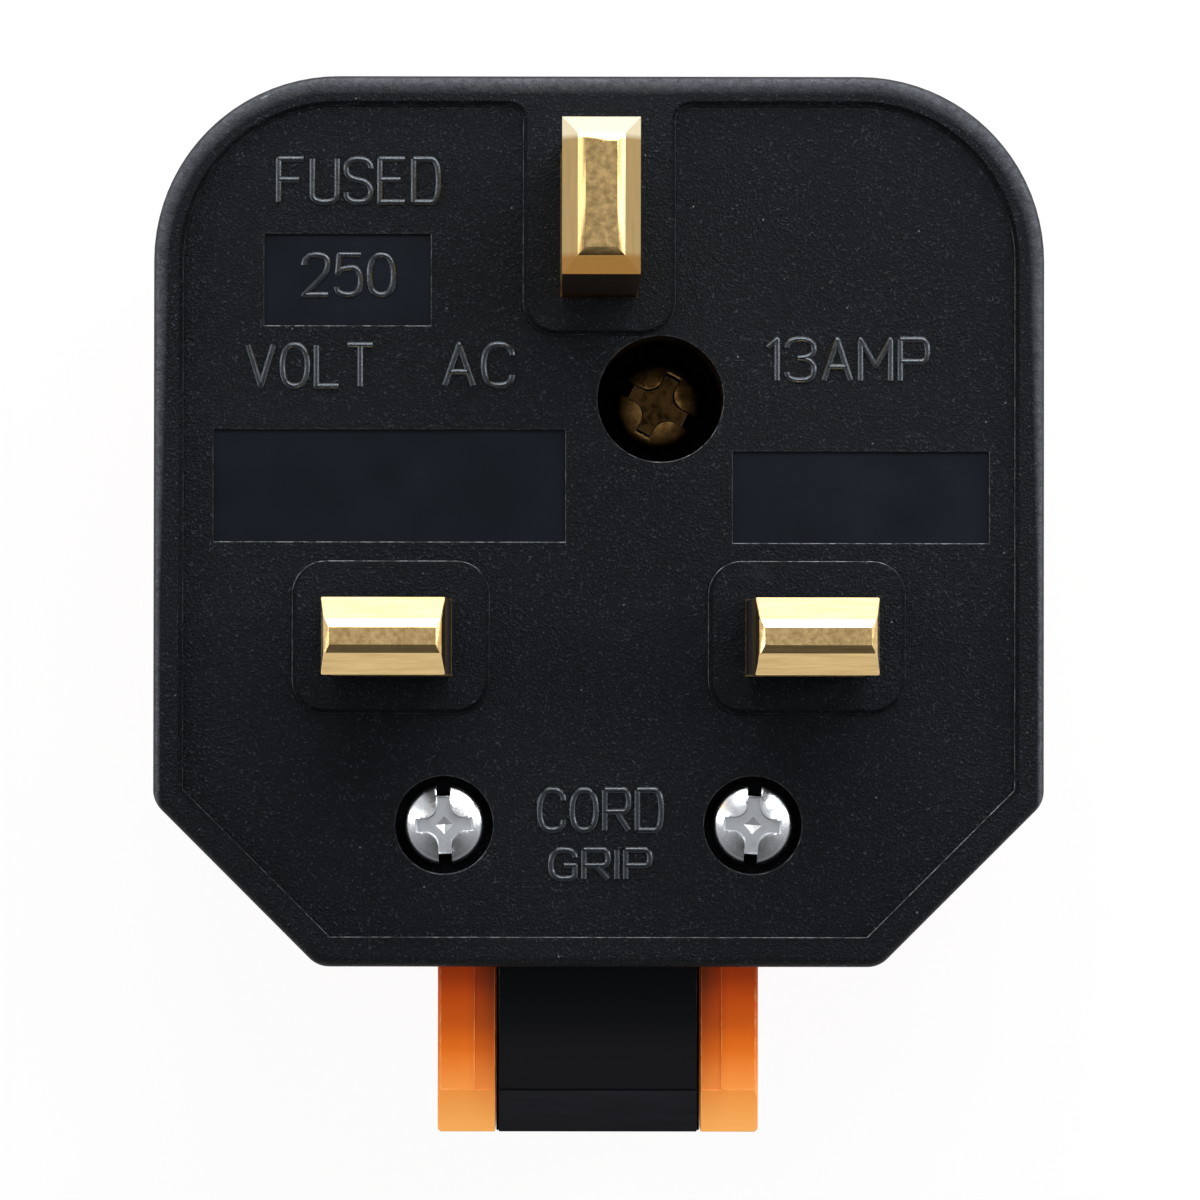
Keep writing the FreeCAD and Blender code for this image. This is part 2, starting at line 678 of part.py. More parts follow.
# Finger ridges on the sides, each as far off the sloping side as the others
right_ridges = []
for step in range(4):
    level = s.ridge_low + step * s.ridge_pitch
    side = s.plug_width / 2 - s.cover_draft + slope * level
    sketch = sketch_on(cover, f"ridge_{step}_outline", "YZ_Plane", side - s.side_wall / 2)
    draw_box(sketch, side_middle, level, s.ridge_length, s.ridge_width)
    length = s.side_wall / 2 + s.ridge_height
    right_ridges.append(extrude(cover, "Pad", f"right_ridge_{step}", sketch, length))
mirror = cover.newObject("PartDesign::Mirrored", "left_ridges")
mirror.Originals = right_ridges
mirror.MirrorPlane = (origin_planes["YZ_Plane"], [""])
cover.Tip = mirror


def bevelled_end(body, name, x, y, width, height, flat_width, flat_height, end):
    """The bevelled last stretch of a pin."""
    start = sketch_on(body, f"{name}_end_root", "XY_Plane", end - s.tip_length)
    draw_box(start, x, y, width, height)
    tip = sketch_on(body, f"{name}_end_flat", "XY_Plane", end)
    draw_box(tip, x, y, flat_width, flat_height)
    loft(body, "AdditiveLoft", f"{name}_end", start, tip)
    soften(body, f"{name}_end_ridges", s.tip_edge, flat_at(end), "Chamfer")


# Earth pin and its terminal block
earth_pin = new_body("earth_pin")
earth_end = face + s.earth_reach
zero = as_size(0)
sketch = sketch_on(earth_pin, "earth_shank_outline", "XY_Plane", plate)
draw_box(sketch, zero, s.earth_rise, s.blade_thickness, s.earth_height)
extrude(earth_pin, "Pad", "earth_shank", sketch, earth_end - s.tip_length - plate)
bevelled_end(
    earth_pin,
    "earth",
    zero,
    s.earth_rise,
    s.blade_thickness,
    s.earth_height,
    s.earth_tip_flat,
    s.earth_height - 2 * s.earth_tip_bevel,
    earth_end,
)
sketch = sketch_on(earth_pin, "earth_block_outline", "XY_Plane", block_low)
draw_box(sketch, zero, earth_block_y, s.terminal_width, earth_block_high - earth_block_low)
extrude(earth_pin, "Pad", "earth_block", sketch, s.terminal_height)
sketch = sketch_on(earth_pin, "earth_wire_outline", "YZ_Plane")
draw_circle(sketch, earth_block_y, wire_level, s.wire_hole)
hole = extrude(earth_pin, "Pocket", "earth_wire_hole", sketch, s.terminal_width + 2 * s.cut_overrun)
hole.Midplane = True
sketch = sketch_on(earth_pin, "earth_screw_outline", "XY_Plane", block_low)
draw_circle(sketch, zero, earth_block_y, s.terminal_screw_thread + 2 * s.thread_clearance)
extrude(earth_pin, "Pocket", "earth_screw_hole", sketch, s.terminal_height - s.wire_drop, True)


def lower_pin(body, name, x):
    """Shank of a lower pin: a neck under the sleeve, the full blade beyond it."""
    end = face + s.blade_reach
    neck_end = face + s.sleeve_reach
    sketch = sketch_on(body, f"{name}_root_outline", "XY_Plane", plate)
    draw_box(sketch, x, zero, s.blade_width, s.blade_thickness)
    extrude(body, "Pad", f"{name}_root", sketch, s.face_thickness - s.sleeve_seat)
    sketch = sketch_on(body, f"{name}_neck_outline", "XY_Plane", plate)
    draw_box(sketch, x, zero, s.blade_width - 2 * s.sleeve_wall, s.blade_thickness - 2 * s.sleeve_wall)
    extrude(body, "Pad", f"{name}_neck", sketch, neck_end - plate + s.neck_overlap)
    sketch = sketch_on(body, f"{name}_blade_outline", "XY_Plane", neck_end)
    draw_box(sketch, x, zero, s.blade_width, s.blade_thickness)
    extrude(body, "Pad", f"{name}_blade", sketch, end - s.tip_length - neck_end)
    bevelled_end(
        body,
        name,
        x,
        zero,
        s.blade_width,
        s.blade_thickness,
        s.blade_width - 2 * s.tip_side_bevel,
        s.tip_flat,
        end,
    )


def sleeve(name, x):
    """Insulating sleeve, flush with the blade beyond it."""
    body = new_body(name)
    sketch = sketch_on(body, f"{name}_outline", "XY_Plane", face - s.sleeve_seat)
    draw_box(sketch, x, zero, s.blade_width, s.blade_thickness)
    draw_box(sketch, x, zero, s.blade_width - 2 * s.sleeve_wall, s.blade_thickness - 2 * s.sleeve_wall)
    extrude(body, "Pad", f"{name}_tube", sketch, s.sleeve_reach + s.sleeve_seat)
    return body


# Neutral pin and its terminal block
neutral_pin = new_body("neutral_pin")
lower_pin(neutral_pin, "neutral", half_spacing)
sketch = sketch_on(neutral_pin, "neutral_block_outline", "XY_Plane", block_low)
draw_box(sketch, half_spacing, zero, s.terminal_width, s.terminal_width)
extrude(neutral_pin, "Pad", "neutral_block", sketch, s.terminal_height)
sketch = sketch_on(neutral_pin, "neutral_wire_outline", "XZ_Plane")
draw_circle(sketch, half_spacing, wire_level, s.wire_hole)
hole = extrude(neutral_pin, "Pocket", "neutral_wire_hole", sketch, s.terminal_width + 2 * s.cut_overrun)
hole.Midplane = True
sketch = sketch_on(neutral_pin, "neutral_screw_outline", "XY_Plane", block_low)
draw_circle(sketch, half_spacing, zero, s.terminal_screw_thread + 2 * s.thread_clearance)
extrude(neutral_pin, "Pocket", "neutral_screw_hole", sketch, s.terminal_height - s.wire_drop, True)

# Live pin, its head reaching down to carry a fuse clip
live_pin = new_body("live_pin")
lower_pin(live_pin, "live", fuse_x)
sketch = sketch_on(live_pin, "live_head_outline", "XY_Plane", head_low)
live_head_high = s.blade_thickness / 2 + s.terminal_overhang
draw_box(
    sketch,
    fuse_x,
    (live_head_high + fuse_low) / 2,
    s.terminal_width,
    live_head_high - fuse_low,
)
extrude(live_pin, "Pad", "live_head", sketch, s.pin_head_thickness)

live_pin_sleeve = sleeve("live_pin_sleeve", fuse_x)
neutral_pin_sleeve = sleeve("neutral_pin_sleeve", half_spacing)

# Live terminal: a block beyond the fuse's upper end and a foot that carries its clip
live_terminal = new_body("live_terminal")
sketch = sketch_on(live_terminal, "live_block_outline", "XY_Plane", block_low)
draw_box(sketch, fuse_x, live_block_y, s.terminal_width, s.live_block_length)
extrude(live_terminal, "Pad", "live_block", sketch, s.terminal_height)
sketch = sketch_on(live_terminal, "live_foot_outline", "XY_Plane", head_low)
live_foot_low = fuse_high - s.fuse_cap_length
draw_box(
    sketch,
    fuse_x,
    (live_foot_low + live_block_y) / 2,
    s.terminal_width,
    live_block_y - live_foot_low,
)
extrude(live_terminal, "Pad", "live_foot", sketch, s.pin_head_thickness)
sketch = sketch_on(live_terminal, "live_wire_outline", "YZ_Plane", fuse_x)
draw_circle(sketch, live_block_y, wire_level, s.wire_hole)
hole = extrude(live_terminal, "Pocket", "live_wire_hole", sketch, s.terminal_width + 2 * s.cut_overrun)
hole.Midplane = True
sketch = sketch_on(live_terminal, "live_screw_outline", "XY_Plane", block_low)
draw_circle(sketch, fuse_x, live_block_y, s.terminal_screw_thread + 2 * s.thread_clearance)
extrude(live_terminal, "Pocket", "live_screw_hole", sketch, s.terminal_height - s.wire_drop, True)


def fuse_clip(name, y):
    """Spring clip: a foot under the pin's head and two legs round the fuse."""
    body = new_body(name)
    sketch = sketch_on(body, f"{name}_outline", "XZ_Plane", -(y + s.clip_length / 2))
    middle = FreeCAD.Vector(fuse_x.value, fuse_level.value, 0)
    reach = math.radians(s.clip_reach_angle.value)
    arcs = []
    for radius in (clip_outer, clip_inner):
        circle = Part.Circle(middle, FreeCAD.Vector(0, 0, 1), radius.value)
        arc = sketch.addGeometry(Part.ArcOfCircle(circle, -reach, math.pi + reach))
        dimension(sketch, radius, "Radius", arc)
        arcs.append(arc)
    place_point(sketch, arcs[0], 3, fuse_x, fuse_level)
    sketch.addConstraint(Sketcher.Constraint("Coincident", arcs[0], 3, arcs[1], 3))
    for end, angle in ((1, -reach), (2, math.pi + reach)):
        way = FreeCAD.Vector(math.cos(angle), math.sin(angle), 0)
        start = middle + way * clip_outer.value
        stop = middle + way * clip_inner.value
        line = sketch.addGeometry(Part.LineSegment(start, stop))
        sketch.addConstraint(Sketcher.Constraint("Coincident", line, 1, arcs[0], end))
        sketch.addConstraint(Sketcher.Constraint("Coincident", line, 2, arcs[1], end))
        sketch.addConstraint(Sketcher.Constraint("PointOnObject", arcs[0], 3, line))
        level = fuse_level - clip_outer * Size(
            f"sin({s.clip_reach_angle.text} * 1 deg)", math.sin(reach)
        )
        dimension(sketch, level, "DistanceY", -1, 1, line, 1)
    extrude(body, "Pad", f"{name}_legs", sketch, s.clip_length)
    sketch = sketch_on(body, f"{name}_foot_outline", "XY_Plane", head_low - s.clip_gauge)
    draw_box(sketch, fuse_x, y, s.clip_foot, s.clip_length)
    extrude(body, "Pad", f"{name}_foot", sketch, s.clip_gauge)
    return body


live_pin_fuse_clip = fuse_clip("live_pin_fuse_clip", fuse_lower_cap)
live_terminal_fuse_clip = fuse_clip("live_terminal_fuse_clip", fuse_upper_cap)


def cylinder(name, diameter, length, x, y, z, turned=False):
    """A Part cylinder up from a point, or along Y from it."""
    thing = doc.addObject("Part::Cylinder", name)
    bind(thing, "Radius", diameter / 2)
    bind(thing, "Height", length)
    if turned:
        thing.Placement.Rotation = FreeCAD.Rotation(FreeCAD.Vector(1, 0, 0), -90)
    bind(thing, "Placement.Base.x", x)
    bind(thing, "Placement.Base.y", y)
    bind(thing, "Placement.Base.z", z)
    return thing


def box(name, x, y, z, width, depth, height):
    """A Part box about the middle of its bottom."""
    thing = doc.addObject("Part::Box", name)
    bind(thing, "Length", width)
    bind(thing, "Width", depth)
    bind(thing, "Height", height)
    bind(thing, "Placement.Base.x", x - width / 2)
    bind(thing, "Placement.Base.y", y - depth / 2)
    bind(thing, "Placement.Base.z", z)
    return thing


def cut(name, whole, tool):
    thing = doc.addObject("Part::Cut", name)
    thing.Base = whole
    thing.Tool = tool
    thing.Label = name
    return thing


def fuse(name, *pieces):
    thing = doc.addObject("Part::MultiFuse", name)
    thing.Shapes = list(pieces)
    thing.Label = name
    return thing


def group(name, *pieces):
    """Identical pieces as one group of separate solids."""
    thing = doc.addObject("Part::Compound", name)
    thing.Links = list(pieces)
    thing.Label = name
    return thing


# Cartridge fuse, sealed, so its caps and barrel are solid
fuse_barrel = cylinder(
    "fuse_barrel",
    s.fuse_diameter - 2 * s.fuse_cap_step,
    s.fuse_length - 2 * s.fuse_cap_length,
    fuse_x,
    fuse_low + s.fuse_cap_length,
    fuse_level,
    True,
)
fuse_cap_lower = cylinder(
    "fuse_cap_lower", s.fuse_diameter, s.fuse_cap_length, fuse_x, fuse_low, fuse_level, True
)
fuse_cap_upper = cylinder(
    "fuse_cap_upper",
    s.fuse_diameter,
    s.fuse_cap_length,
    fuse_x,
    fuse_high - s.fuse_cap_length,
    fuse_level,
    True,
)


def slotted_screw(name, x, y):
    """Headless terminal screw, driven from the cover's side."""
    low = block_low - s.terminal_screw_proud
    length = wire_level - s.wire_hole / 2 - low
    shank = cylinder(f"{name}_shank", s.terminal_screw_thread, length, x, y, low)
    slot_low = low - s.screw_slot_depth
    across = s.terminal_screw_thread + s.cut_overrun
    slot = box(f"{name}_slot", x, y, slot_low, across, s.screw_slot, 2 * s.screw_slot_depth)
    return cut(name, shank, slot)


terminal_screws = group(
    "terminal_screws",
    slotted_screw("earth_screw", zero, earth_block_y),
    slotted_screw("neutral_screw", half_spacing, zero),
    slotted_screw("live_screw", fuse_x, live_block_y),
)

# Cord grip bar with ridges towards the cord and pockets for the nuts
cord_grip_bar = new_body("cord_grip_bar")
sketch = sketch_on(cord_grip_bar, "bar_outline", "XY_Plane", bar_low)
draw_box(sketch, zero, -s.grip_drop, s.grip_spacing + s.bar_width, s.bar_width)
extrude(cord_grip_bar, "Pad", "bar", sketch, s.bar_thickness)
sketch = sketch_on(cord_grip_bar, "bar_ridge_outlines", "YZ_Plane")
draw_ridges(sketch, bar_top, s.grip_ridge)
ridges = extrude(cord_grip_bar, "Pad", "bar_ridges", sketch, s.ridge_span - 1)
ridges.Midplane = True
sketch = sketch_on(cord_grip_bar, "nut_pocket_outlines", "XY_Plane", bar_low)
for x in (-grip_half, grip_half):
    draw_box(sketch, x, -s.grip_drop, s.nut_width, s.nut_width)
extrude(cord_grip_bar, "Pocket", "nut_pockets", sketch, s.nut_thickness, True)
sketch = sketch_on(cord_grip_bar, "bar_hole_outlines", "XY_Plane", bar_top)
for x in (-grip_half, grip_half):
    draw_circle(sketch, x, -s.grip_drop, s.grip_screw_thread + 2 * s.screw_clearance)
extrude(cord_grip_bar, "Pocket", "bar_holes", sketch, s.bar_thickness)


def headed_screw(name, x, y, seat, head, height, thread, length):
    """Screw with its head up and a slot in it."""
    shank = cylinder(f"{name}_shank", thread, length + height / 2, x, y, seat - length)
    top = cylinder(f"{name}_top", head, height, x, y, seat)
    blank = fuse(f"{name}_blank", shank, top)
    slot_low = seat + height - s.screw_slot_depth
    slot = box(f"{name}_slot", x, y, slot_low, s.screw_slot, head + s.cut_overrun, 2 * s.screw_slot_depth)
    return cut(name, blank, slot)


grip_screws = []
nuts = []
for name, x in (("left", -grip_half), ("right", grip_half)):
    grip_screws.append(
        headed_screw(
            f"{name}_grip_screw",
            x,
            -s.grip_drop,
            grip_seat,
            s.grip_screw_head,
            s.grip_screw_head_height,
            s.grip_screw_thread,
            s.grip_screw_length,
        )
    )
    nut = box(f"{name}_nut_blank", x, -s.grip_drop, bar_low, s.nut_width, s.nut_width, s.nut_thickness)
    thread = cylinder(
        f"{name}_nut_thread",
        s.grip_screw_thread + 2 * s.thread_clearance,
        s.nut_thickness + 2,
        x,
        -s.grip_drop,
        bar_low - 1,
    )
    nuts.append(cut(f"{name}_nut", nut, thread))
cord_grip_screws = group("cord_grip_screws", *grip_screws)
cord_grip_nuts = group("cord_grip_nuts", *nuts)

# Cover screw with its washer and insert
cover_screw = headed_screw(
    "cover_screw",
    s.well_x,
    s.well_y,
    well_seat,
    s.cover_screw_head,
    s.cover_screw_head_height,
    s.cover_screw_thread,
    well_seat - insert_low,
)
thread_bore = s.cover_screw_thread + 2 * s.thread_clearance
washer_disc = cylinder("washer_disc", s.washer_diameter, s.washer_thickness, s.well_x, s.well_y, insert_top)
washer_hole = cylinder(
    "washer_hole", thread_bore, s.washer_thickness + 2, s.well_x, s.well_y, insert_top - 1
)
cover_screw_washer = cut("cover_screw_washer", washer_disc, washer_hole)
insert_blank = box(
    "insert_blank", s.well_x, s.well_y, insert_low, s.insert_width, s.insert_width, s.insert_length
)
insert_hole = cylinder("insert_hole", thread_bore, s.insert_length + 2, s.well_x, s.well_y, insert_low - 1)
cover_screw_insert = cut("cover_screw_insert", insert_blank, insert_hole)

NODES = (
    base,
    cover,
    earth_pin,
    neutral_pin,
    live_pin,
    live_pin_sleeve,
    neutral_pin_sleeve,
    live_terminal,
    live_pin_fuse_clip,
    live_terminal_fuse_clip,
    fuse_barrel,
    fuse_cap_lower,
    fuse_cap_upper,
    terminal_screws,
    cord_grip_bar,
    cord_grip_screws,
    cord_grip_nuts,
    cover_screw,
    cover_screw_insert,
    cover_screw_washer,
)

doc.recompute()

# Every object must have come out sound, and every feature must have added or taken away material
for thing in doc.Objects:
    if any(word in thing.State for word in ("Invalid", "Error")):
        raise RuntimeError(f"{thing.Label} did not come out: {thing.State}")
for body in doc.findObjects("PartDesign::Body"):
    last = None
    for feature in body.Group:
        if not feature.isDerivedFrom("PartDesign::Feature"):
            continue
        volume = feature.Shape.Volume
        if last is not None and abs(volume - last) < 1e-4:
            raise RuntimeError(f"{feature.Label} changed nothing")
        last = volume
for node in NODES:
    if node.Shape.isNull() or not node.Shape.isValid():
        raise RuntimeError(f"{node.Label} is not a sound solid")

os.makedirs("parts", exist_ok=True)
for node in NODES:
    node.Shape.exportStep(f"parts/{node.Label}.step")
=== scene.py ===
import math

import bmesh
import bpy
from mathutils import Euler, Matrix, Vector


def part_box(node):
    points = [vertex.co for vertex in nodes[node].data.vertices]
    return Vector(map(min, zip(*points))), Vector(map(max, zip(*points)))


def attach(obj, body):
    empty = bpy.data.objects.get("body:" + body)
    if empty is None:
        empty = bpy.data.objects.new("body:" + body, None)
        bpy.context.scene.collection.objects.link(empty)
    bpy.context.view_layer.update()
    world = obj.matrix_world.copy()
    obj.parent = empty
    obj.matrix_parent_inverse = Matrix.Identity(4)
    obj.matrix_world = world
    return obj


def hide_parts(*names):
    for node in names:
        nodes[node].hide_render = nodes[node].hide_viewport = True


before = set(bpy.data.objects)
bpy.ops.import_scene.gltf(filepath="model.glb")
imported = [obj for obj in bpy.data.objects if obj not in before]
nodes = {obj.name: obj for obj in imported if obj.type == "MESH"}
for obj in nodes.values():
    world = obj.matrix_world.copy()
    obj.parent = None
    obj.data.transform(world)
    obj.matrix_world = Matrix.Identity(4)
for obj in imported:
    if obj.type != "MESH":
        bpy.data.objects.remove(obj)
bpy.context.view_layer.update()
scene = bpy.context.scene

# The plug lies on its cover with its pins up: X to the right, Y up the face, Z towards the viewer, in metres
MM = 0.001

# Levels of the face: rim and islands, the field between them, and the floors of the smooth panels
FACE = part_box("base")[1].z
FIELD = FACE - 0.4 * MM
PANEL = FIELD - 0.3 * MM

# The base's lower edge, and the collar and tongue that reach out below it
BOTTOM_EDGE = -17.6 * MM
COLLAR_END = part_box("cover")[0].y
TONGUE_CREASE = COLLAR_END + 2.3 * MM

# The earth pin, placed above the line of the other two
EARTH_PLACE = 22.23 * MM
EARTH_BREADTH = 7.95 * MM
EARTH_LOW_EDGE = EARTH_PLACE - EARTH_BREADTH / 2
EARTH_TOP_EDGE = EARTH_PLACE + EARTH_BREADTH / 2
EARTH_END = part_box("earth_pin")[1].z
EARTH_BEVEL = 1.35 * MM


def feed(tree, socket, value):
    """Links a socket to another, or gives it a plain value."""
    if isinstance(value, bpy.types.NodeSocket):
        tree.links.new(value, socket)
    else:
        socket.default_value = value


def add_node(tree, kind, inputs=(), **settings):
    """Adds a shader node, its inputs given as plain values or as sockets to link."""
    made = tree.nodes.new(kind)
    for name, setting in settings.items():
        setattr(made, name, setting)
    for socket, value in dict(inputs).items():
        feed(tree, made.inputs[socket], value)
    return made


class Finish:
    """A material put together from nodes, with patterns laid out in the object's own metres."""

    def __init__(self, name):
        self.material = bpy.data.materials.new(name)
        self.material.use_nodes = True
        self.tree = self.material.node_tree
        self.shader = self.tree.nodes["Principled BSDF"]
        where = self.node("ShaderNodeTexCoord")
        self.place = where.outputs["Object"]
        self.facing = where.outputs["Normal"]

    def node(self, kind, inputs=(), **settings):
        return add_node(self.tree, kind, inputs, **settings)

    def shade(self, **inputs):
        """Sets sockets of the shader, named with underscores for spaces."""
        for name, value in inputs.items():
            feed(self.tree, self.shader.inputs[name.replace("_", " ")], value)
        return self.material

    def along(self, axis):
        return self.node("ShaderNodeSeparateXYZ", {0: self.place}).outputs[axis]

    def faces_up(self):
        """One on surfaces that face the viewer of the pins, none on slopes and sides."""
        return self.spread(self.node("ShaderNodeSeparateXYZ", {0: self.facing}).outputs["Z"], 0.93, 0.99)

    def tilt(self, way, least):
        """How far the surface faces a way, from least up to one."""
        facing = self.node("ShaderNodeVectorMath", {0: self.facing, 1: way}, operation="DOT_PRODUCT")
        return self.spread(facing.outputs["Value"], least, 1.0, least, 1.0)

    def stretched(self, x, y, z):
        """The place, scaled so that patterns grow longer along an axis with a small share."""
        return self.node("ShaderNodeMapping", {"Vector": self.place, "Scale": (x, y, z)}).outputs[0]

    def noise(self, size, detail=2.0, rough=0.5, where=None):
        """Cloudy noise whose blobs measure about size."""
        inputs = {"Vector": where or self.place, "Scale": 1 / size, "Detail": detail, "Roughness": rough}
        return self.node("ShaderNodeTexNoise", inputs).outputs[0]

    def specks(self, pitch, size, share):
        """Small round dots, present in the given share of cells one pitch wide."""
        cells = self.node("ShaderNodeTexVoronoi", {"Vector": self.place, "Scale": 1 / pitch})
        dot = self.math("LESS_THAN", cells.outputs["Distance"], size / pitch)
        pick = self.node("ShaderNodeSeparateColor", {0: cells.outputs["Color"]}).outputs[0]
        return self.times(dot, self.math("LESS_THAN", pick, share))

    def math(self, operation, first, second=0.0, third=0.0):
        inputs = {0: first, 1: second, 2: third}
        return self.node("ShaderNodeMath", inputs, operation=operation).outputs[0]

    def times(self, first, second):
        return self.math("MULTIPLY", first, second)

    def near(self, value, target, reach):
        """One within reach of a target, none beyond it."""
        return self.math("COMPARE", value, target, reach)

    def spread(self, value, low, high, to_low=0.0, to_high=1.0):
        """Maps the stretch low to high onto another, held at its ends."""
        inputs = {0: value, 1: low, 2: high, 3: to_low, 4: to_high}
        return self.node("ShaderNodeMapRange", inputs).outputs[0]

    def blend(self, amount, first, second):
        """Mixes two colours, given as three numbers or as sockets."""
        made = self.node("ShaderNodeMix", data_type="RGBA")
        feed(self.tree, made.inputs[0], amount)
        for index, colour in ((6, first), (7, second)):
            feed(self.tree, made.inputs[index], (*colour, 1.0) if isinstance(colour, tuple) else colour)
        return made.outputs[2]

    def bump(self, height, depth, strength=1.0, under=None):
        """Relief whose full height is depth."""
        inputs = {"Height": height, "Distance": depth, "Strength": strength}
        if under:
            inputs["Normal"] = under
        return self.node("ShaderNodeBump", inputs).outputs[0]

    def attribute(self, name):
        return self.node("ShaderNodeAttribute", attribute_name=name).outputs["Fac"]


# Colours of the black moulding, pairs from dark to pale
BLACK = ((0.0006, 0.0007, 0.001), (0.0016, 0.0018, 0.0024))
PANEL_BLACK = ((0.0012, 0.0018, 0.003), (0.0066, 0.0088, 0.0135))
LETTER_BLACK = ((0.0016, 0.0018, 0.0024), (0.004, 0.0044, 0.0054))
# The tongue's own black, clear of the painted shade near the base
TONGUE_BLACK = (0.0055, 0.0053, 0.0062)
# Painted shade in the tongue's crease
CREASE_PAINTED_SHADE = (0.0005, 0.0005, 0.0006)
GRAIN_PEAK = (0.042, 0.046, 0.058)
SCUFF = (0.022, 0.0225, 0.025)
# Painted highlight on the rim's outer edge
RIM_PAINTED_HIGHLIGHT = (0.085, 0.089, 0.102)
# Pale colour of rounded edges: worn, and a painted highlight where they face the lamps
EDGE_WEAR_AND_HIGHLIGHT = (0.36, 0.365, 0.38)
# Lighter tongue end: handling streaks, and painted light where the end tilts
TONGUE_END_WEAR_AND_LIGHT = (0.024, 0.0255, 0.03)
DUST = (0.12, 0.12, 0.13)

# Breadth of the eroded grain's blobs, and its depth
GRAIN = 0.14 * MM

# Rounded edges are painted pale, partly as worn and partly as painted highlight: palest where they face the
# top of the plug, a little where they face left
EDGE_HIGHLIGHT_FACING = (-0.45, 0.9, 0.0)

# The rim's round corners, and its painted highlight: breadth low and high on the face, and where these are
# reached
CORNER_RADIUS = 9.9 * MM
BAND_BREADTHS = (0.4 * MM, 1.0 * MM)
BAND_HEIGHTS = (2 * MM, 27 * MM)


def rim_highlight_band(finish):
    """The painted highlight along the rim's outer edge, thin at the sides and broad at the top."""
    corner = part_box("base")[1]
    aside = finish.math("SUBTRACT", finish.math("ABSOLUTE", finish.along("X")), corner.x - CORNER_RADIUS)
    above = finish.math("SUBTRACT", finish.along("Y"), corner.y - CORNER_RADIUS)
    reach = finish.node("ShaderNodeCombineXYZ", {"X": aside, "Y": above}).outputs[0]
    reach = finish.node("ShaderNodeVectorMath", {0: reach}, operation="MAXIMUM").outputs[0]
    reach = finish.node("ShaderNodeVectorMath", {0: reach}, operation="LENGTH").outputs["Value"]
    inside = finish.math("SUBTRACT", CORNER_RADIUS, reach)
    breadth = finish.spread(finish.along("Y"), *BAND_HEIGHTS, *BAND_BREADTHS)
    inner = finish.spread(inside, breadth, 0.2 * MM)
    outer = finish.spread(inside, 0.05 * MM, 0.18 * MM)
    on_face = finish.math("GREATER_THAN", finish.along("Z"), FACE - 0.5 * MM)
    return finish.times(finish.times(inner, outer), on_face)


